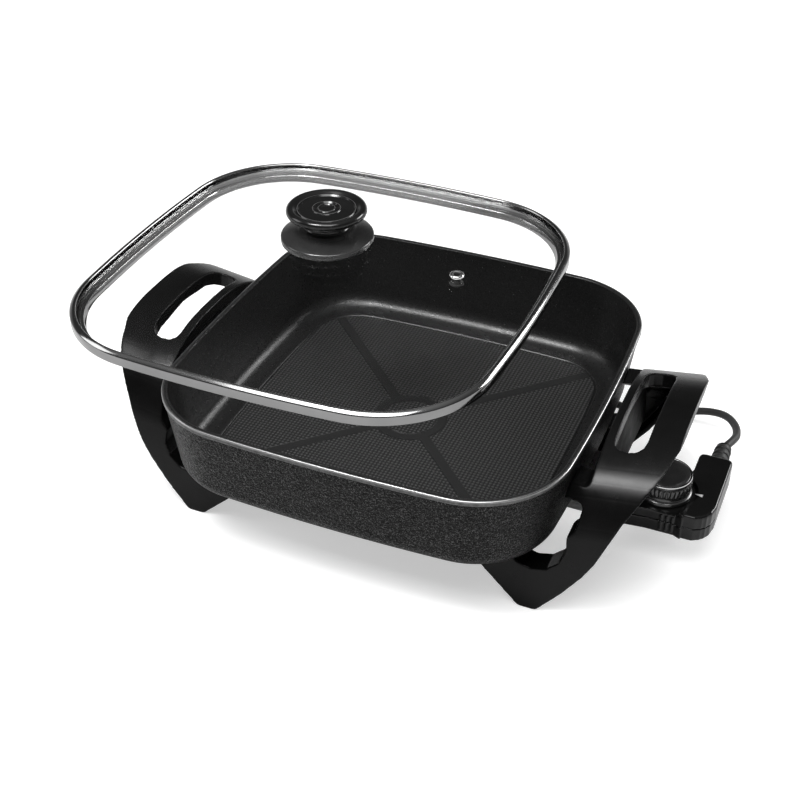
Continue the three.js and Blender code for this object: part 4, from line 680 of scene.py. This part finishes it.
# ---------------------------------------------------------------- brackets
ARCH_CROWN, ARCH_HALF, ARCH_MIDDLE = 133.5, 106.0, -5.0
ARCH_REACH, ARCH_DEPTH, ARCH_INNER = 223.5, 54.5, 0.939
ARCH_TILT = ARCH_CROWN * (1 - ARCH_INNER) / ARCH_DEPTH
ARCH_TOP_SHARES = [
    (0, 1), (0.236, 0.994), (0.33, 0.981), (0.425, 0.962), (0.519, 0.934), (0.613, 0.901),
    (0.708, 0.856), (0.783, 0.796),
]
ARCH_FOLD = (0.797, 0.785)
ARCH_LEG_SHARES = [(0.84, 0.73), (0.896, 0.65), (0.934, 0.565), (0.958, 0.46), (0.98, 0.25),
                   (1, 0)]
ARCH_SPAN_STEPS, ARCH_SAMPLES, ARCH_BLUR = 30, 181, 12
LEG_TURN, LEG_BLEND, SPREAD_TURN = 0.77, 0.17, 1.2
LIP_SHARES = [0, 0.236, 0.33, 0.425, 0.519, 0.613, 0.75]
LIP_BOW = [3.6, 3.2, 2.9, 1.8, 1.2, 0.8, 0.0]
LIP_FROM, LIP_SPAN, LIP_MOST, LIP_END, LIP_LOW = 195.0, 23.0, 1.3, 221.5, 60.0


def arch_reach(shares, even):
    """The outline's distance from the arch's centre by angle, over the side towards +Y."""
    line = [Vector((y * ARCH_HALF, z * ARCH_CROWN, 0)) for y, z in shares]
    if even:
        dense = catmull(line, ARCH_SPAN_STEPS)
    else:
        dense = [a.lerp(b, k / ARCH_SPAN_STEPS) for a, b in zip(line, line[1:])
                 for k in range(ARCH_SPAN_STEPS)]
        dense.append(line[-1])
    turn = np.array([math.atan2(q.y, q.x) for q in dense])
    reach = np.array([q.length for q in dense])
    fine = np.linspace(turn.min(), turn.max(), ARCH_SAMPLES)
    reach = np.interp(fine, turn[::-1], reach[::-1])
    if even:
        before = 2 * reach[0] - reach[ARCH_BLUR:0:-1]
        after = 2 * reach[-1] - reach[-2:-ARCH_BLUR - 2:-1]
        weight = np.hanning(2 * ARCH_BLUR + 3)[1:-1]
        reach = np.convolve(np.concatenate([before, reach, after]), weight / weight.sum(),
                            "valid")
    return fine, reach


def read_points(obj):
    """A piece's vertices as rows of coordinates, in metres of the row frame."""
    co = np.empty(len(obj.data.vertices) * 3)
    obj.data.vertices.foreach_get("co", co)
    return co.reshape(-1, 3)


def write_points(obj, co):
    obj.data.vertices.foreach_set("co", co.reshape(-1))
    obj.data.update()


def arch_even(obj):
    """Swell the arch's flats, so that its outside is one even curve, and bow its lip out."""
    crown = [(-y, z) for y, z in reversed(ARCH_TOP_SHARES[1:4])]
    even = arch_reach(crown + ARCH_TOP_SHARES + [ARCH_FOLD] + ARCH_LEG_SHARES, True)
    flat = arch_reach(ARCH_TOP_SHARES + ARCH_LEG_SHARES, False)

    co = read_points(obj)
    x = np.abs(co[:, 0] / MM - SHIFT.x)
    y = co[:, 1] / MM - SHIFT.y - ARCH_MIDDLE
    lean = ARCH_TILT * (x - ARCH_REACH)
    z = co[:, 2] / MM - lean
    turn = np.arctan2(z, np.abs(y))
    swell = np.interp(turn, *even) / np.interp(turn, *flat)
    wide = [np.interp(z, reach * np.sin(angle), reach * np.cos(angle)) for angle, reach in
            (even, flat)]
    spread = np.where(turn < SPREAD_TURN, wide[0] / np.maximum(wide[1], 1.0), 1.0)
    high = eased(np.clip((turn - LEG_TURN) / LEG_BLEND, 0.0, 1.0))
    co[:, 1] = (y * (spread + (swell - spread) * high) + ARCH_MIDDLE + SHIFT.y) * MM
    co[:, 2] = np.maximum((z * (1 + (swell - 1) * high) + lean) * MM, 0.0)

    out = np.interp(np.abs(y) / ARCH_HALF, LIP_SHARES, LIP_BOW)
    share = np.clip((x - LIP_FROM) / LIP_SPAN, 0.0, LIP_MOST)
    out = np.where(z > LIP_LOW, out * share * share * (3 - 2 * np.minimum(share, 1.0)), 0.0)
    out = np.minimum(out, np.maximum(LIP_END - x, 0.0))
    co[:, 0] += np.sign(co[:, 0]) * out * MM
    co[:, 2] += out * ARCH_TILT * MM
    write_points(obj, co)


def refined(node, name, body, material, voxel, rounds, warp=None):
    """A copy of a CAD solid whose edges are eased all over, as a moulding's are."""
    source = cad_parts[node]
    obj = source.copy()
    obj.data = source.data.copy()
    obj.name = name
    for key in list(obj.keys()):
        if key.startswith("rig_"):
            del obj[key]
    bpy.context.scene.collection.objects.link(obj)
    obj.parent = None
    obj.matrix_world = Matrix.Identity(4)
    clean(obj)
    remesh = obj.modifiers.new("remesh", "REMESH")
    remesh.mode = "VOXEL"
    remesh.voxel_size = voxel
    smooth = obj.modifiers.new("smooth", "SMOOTH")
    smooth.factor = 0.5
    smooth.iterations = rounds
    dg = bpy.context.evaluated_depsgraph_get()
    made = bpy.data.meshes.new_from_object(obj.evaluated_get(dg))
    obj.modifiers.clear()
    obj.data = made
    if warp:
        warp(obj)
    obj.data.materials.clear()
    obj.data.materials.append(material)
    for poly in obj.data.polygons:
        poly.use_smooth = True
    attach(obj, body)
    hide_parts(node)


def make_aprons():
    """Inner walls under the handles' rails, which close each handle's slot towards the pan."""
    rail, thick, foot, lip, shrunk = 169.4, 2.4, 55.0, 0.3, 0.99
    drop = ARCH_TILT * (ARCH_REACH - rail)
    half = [(0, 0.933), (0.33, 0.899), (0.519, 0.839), (0.66, 0.749), (0.735, 0.629)]
    half = [(y * ARCH_HALF + 1.2, z * ARCH_CROWN - drop + 1.6) for y, z in half]
    half += [(81.5, 63.0), (80.0, foot + 2.0), (77.0, foot)]
    line = [(-y, z) for y, z in reversed(half[1:])] + [(y, z) for y, z in half]
    verts, faces = [], []
    for side in (1, -1):
        rings = [[at(side * x, y * grow + ARCH_MIDDLE, foot + (z - foot) * grow) for y, z in line]
                 for x, grow in ((rail, shrunk), (rail + lip, 1.0), (rail + thick - lip, 1.0),
                                 (rail + thick, shrunk))]
        more, sheets = skin(rings)
        faces += [tuple(v + len(verts) for v in face) for face in sheets]
        verts += more
    # The aprons close the handles' slots dark; their duller, darker black is painted shade.
    fitted("bracket_aprons", (verts, faces), [], "skillet", MAT["apron"],
           40)


# ---------------------------------------------------------------- controller
def corner_round(obj):
    """Draw the shell's front outer corner in to a large even radius."""
    end, front, radius, cut = 248.5, -27.5, 21.0, 12.0
    t = np.linspace(0, 1, 60)
    edge_u = np.concatenate([[radius], radius - cut * t ** 2])
    edge_v = np.concatenate([[0.0], radius - cut * (1 - t) ** 2])
    turns, reach = np.arctan2(edge_v, edge_u), np.hypot(edge_u, edge_v)
    co = read_points(obj)
    cx, cy = end - radius, front + radius
    u = (co[:, 0] / MM - SHIFT.x - cx) / radius
    v = (cy - (co[:, 1] / MM - SHIFT.y)) / radius
    inside = (u > 0) & (v > 0)
    draw = radius / np.interp(np.arctan2(v, u), turns, reach)
    co[:, 0] = np.where(inside, (cx + u * draw * radius + SHIFT.x) * MM, co[:, 0])
    co[:, 1] = np.where(inside, (cy - v * draw * radius + SHIFT.y) * MM, co[:, 1])
    write_points(obj, co)


def make_relief():
    """Ribbed strain relief: a tapered rubber sleeve cut by slots round the cord."""
    start, end, foot, ribs = 50.0, 81.0, 54.0, 4
    collar, sleeve, slot_depth = 8.2, 7.4, 0.9
    profile = [(3.25, end), (3.25, start), (collar, start), (collar, 51.5), (sleeve, 51.5),
               (sleeve, foot)]
    span = (end - foot) / ribs
    for k in range(ribs):
        y = foot + k * span
        r = sleeve - (k / ribs)
        low = r - slot_depth
        profile += [(r - 0.25, y + 0.1), (r, y + 0.5), (r - 0.1, y + span * 0.5 - 0.5),
                    (r - 0.35, y + span * 0.5), (low, y + span * 0.5 + 0.3),
                    (low - 0.15, y + span - 0.3)]
    profile += [(6.0, 80.6), (5.6, end)]
    place = SHIFT + Vector((CORD_X, 0, CORD_Z))
    fitted("cord_relief", lathe(profile, 48, place, closed=True, along_y=True),
           ["strain_relief"], "controller", MAT["cord"], 40)


def make_dial():
    """Dial with a flange, a turned neck and a short knurled band, and its bright ring."""
    place = SHIFT + Vector((DIAL_X, 0, 0))
    teeth = 36
    steps = teeth * 8

    def ring(r, z, tooth=0.0):
        points = []
        for k in range(steps):
            t = 2 * math.pi * k / steps
            wave = (0.5 - 0.5 * math.cos(t * teeth)) ** 1.5
            points.append((place + Vector(((r - tooth * wave) * math.cos(t),
                                           (r - tooth * wave) * math.sin(t), z))) * MM)
        return points

    profile = [(3.3, 49.0), (20.1, 48.95), (20.4, 49.3), (20.4, 51.8), (20.1, 52.2),
               (18.6, 52.6), (18.2, 53.2), (18.2, 56.0), (18.5, 56.6), (19.2, 56.8, 0.5),
               (19.45, 57.2, 0.95), (19.45, 62.6, 0.95), (19.2, 63.0, 0.5), (18.9, 63.3),
               (18.7, 63.6), (18.9, 64.0), (19.0, 64.4), (19.0, 65.3), (18.8, 65.5),
               (17.3, 65.5), (17.3, 66.8), (17.0, 67.0), (14.0, 66.9), (8.0, 66.7),
               (0.4, 66.65)]
    fitted("dial_knob", skin([ring(*row) for row in profile]), ["dial"], "dial", MAT["dial"],
           40)
    band = [(17.6, 65.8), (18.7, 65.8), (19.0, 66.05), (19.0, 66.7), (18.75, 67.0), (17.9, 67.0),
            (17.6, 66.8)]
    fitted("dial_band", lathe(band, ROUND_STEPS, place, closed=True), ["dial_ring"], "dial",
           MAT["bright"], 40)


def make_pointer():
    """Small inlaid triangle on the controller's top that the dial is read against."""
    centre, reach, half, top = Vector((233.6, 1.5, 0)), 3.6, 1.7, 52.12
    deep, rounded, drawn_in = 0.5, 0.06, 0.12
    out = Vector((-1, 0.08, 0)).normalized()
    side = Vector((-out.y, out.x, 0))
    tips = [centre + out * reach, centre - out * reach * 0.6 + side * half,
            centre - out * reach * 0.6 - side * half]
    inner = [t.lerp(centre, drawn_in) for t in tips]
    rings = [[at(t.x, t.y, z) for t in corners] for corners, z in
             ((tips, top - deep), (tips, top - rounded), (inner, top))]
    fitted("controller_pointer", skin(rings), [], "controller", MAT["pointer"],
           20)


# ---------------------------------------------------------------- floor, light
FLOOR_HALF, FLOOR_TONE = 6.0, 0.66
GLOW_NEAR, GLOW_FAR = 0.5, 0.6
GLOW_FROM, GLOW_TO = 0.45, 1.6
SKY = [(0.05, 0.48), (0.3, 0.072), (0.6, 0.072), (1.0, 0.48)]
LAMP_TARGET = (0, 0, 0.1)
LAMPS = [
    ("top_soft", (0.0, -0.64, 1.56), LAMP_TARGET, (1.5, 0.8), 26),
    ("left_soft", (-1.6, -0.5, 1.1), LAMP_TARGET, (0.7, 0.9), 7),
    ("back_right_soft", (1.25, 1.3, 0.95), LAMP_TARGET, (0.8, 0.6), 20),
    ("front_soft", (-0.314, -0.5, 1.34), (0.19, -0.07, 0.11), (0.3, 0.34), 10),
]


def make_camera():
    """The photograph's camera."""
    data = bpy.data.cameras.new("camera")
    data.lens = LENS
    data.sensor_width = SENSOR
    data.sensor_fit = "HORIZONTAL"
    data.clip_start = 0.01
    data.clip_end = 50.0
    cam = add_object("camera", data)
    aim(cam, at(*CAMERA_AT), at(*CAMERA_TARGET))
    bpy.context.scene.camera = cam


def seen_rays(path):
    """The outputs of a light path node that say whether the eye meets a surface."""
    return path["Is Camera Ray"], path["Is Transmission Ray"]


def make_stage():
    """White floor: it takes shadows, and glows to the eye, the more the farther it lies."""
    mesh = bpy.data.meshes.new("floor")
    mesh.from_pydata([(x * FLOOR_HALF, y * FLOOR_HALF, 0) for x, y in
                      ((-1, -1), (1, -1), (1, 1), (-1, 1))], [], [(0, 1, 2, 3)])
    floor = add_object("floor", mesh)
    material = bpy.data.materials.new("floor_white")
    material.use_nodes = True
    material.node_tree.nodes.clear()
    tree = Tree(material.node_tree)
    path = tree.node("ShaderNodeLightPath", {}).outputs
    rays = tree.math("MAXIMUM", *seen_rays(path))
    spot = tree.value("ShaderNodeTexCoord", {}, "Object")
    distance = tree.value("ShaderNodeVectorMath", {0: spot}, "Value", operation="LENGTH")
    beyond = tree.range(distance, GLOW_FROM, GLOW_TO, 0.0, GLOW_FAR)
    seen = tree.math("MULTIPLY", rays, tree.math("ADD", beyond, GLOW_NEAR))
    level = tree.math("MULTIPLY_ADD", path["Is Glossy Ray"], beyond, seen)
    diffuse = tree.value("ShaderNodeBsdfDiffuse", {"Color": (*(FLOOR_TONE,) * 3, 1)})
    glow = tree.value("ShaderNodeEmission", {"Strength": level})
    both = tree.value("ShaderNodeAddShader", {0: diffuse, 1: glow})
    tree.node("ShaderNodeOutputMaterial", {"Surface": both})
    mesh.materials.append(material)


def make_world():
    """White to the eye; as light, a soft sky: pale at its foot, dim halfway, bright overhead."""
    world = bpy.data.worlds.new("studio")
    bpy.context.scene.world = world
    world.use_nodes = True
    world.node_tree.nodes.clear()
    tree = Tree(world.node_tree)
    rays = tree.math("MAXIMUM", *seen_rays(tree.node("ShaderNodeLightPath", {}).outputs))
    way = tree.value("ShaderNodeTexCoord", {}, "Generated")
    sky = tree.ramp(tree.value("ShaderNodeSeparateXYZ", {0: way}, "Z"), SKY)
    level = tree.range(rays, 0.0, 1.0, sky, 1.0)
    back = tree.value("ShaderNodeBackground", {"Color": (1, 1, 1, 1), "Strength": level})
    tree.node("ShaderNodeOutputWorld", {"Surface": back})


def make_lamp(name, place, target, size, power):
    data = bpy.data.lights.new(name, "AREA")
    data.shape = "RECTANGLE"
    data.size, data.size_y = size
    data.energy = power
    aim(add_object(name, data), place, target)


# ---------------------------------------------------------------- the scene
BRACKET_VOXEL, BRACKET_ROUNDS = (0.0006), 22
FINE_VOXEL, FINE_ROUNDS = (0.0005), 6

make_camera()
make_pan()
make_lid()
make_knob()
for side in ("right", "left"):
    refined(f"bracket_{side}", f"bracket_{side}_moulding", "skillet", MAT["bracket"],
            BRACKET_VOXEL, BRACKET_ROUNDS, arch_even)
for shell in ("top", "base"):
    refined(f"controller_{shell}", f"controller_{shell}_shell", "controller", MAT["case"],
            FINE_VOXEL, FINE_ROUNDS, corner_round)
refined("plug_body", "plug_moulding", "controller", MAT["cord"], FINE_VOXEL,
        FINE_ROUNDS)
CORD_LENGTH = make_cord()
make_aprons()
make_relief()
make_dial()
make_vent()
make_pointer()
dress(MAT["bright"], "dial_shaft", "probe_tube", "knob_washer", "terminal_pin_front",
      "terminal_pin_back")
dress(MAT["screw"], "guard_screw_front", "guard_screw_back", "bracket_screw_right_front",
      "bracket_screw_right_back", "bracket_screw_left_front", "bracket_screw_left_back",
      "knob_screw", "controller_screw_inner", "controller_screw_outer", "terminal_guard",
      "contact_front", "contact_back", "thermostat_blade", "thermostat_block",
      "plug_blade_front", "plug_blade_back")
dress(MAT["element"], "heating_element")
make_stage()
make_world()
for lamp in LAMPS:
    make_lamp(*lamp)

bpy.context.scene.view_settings.view_transform = "Standard"
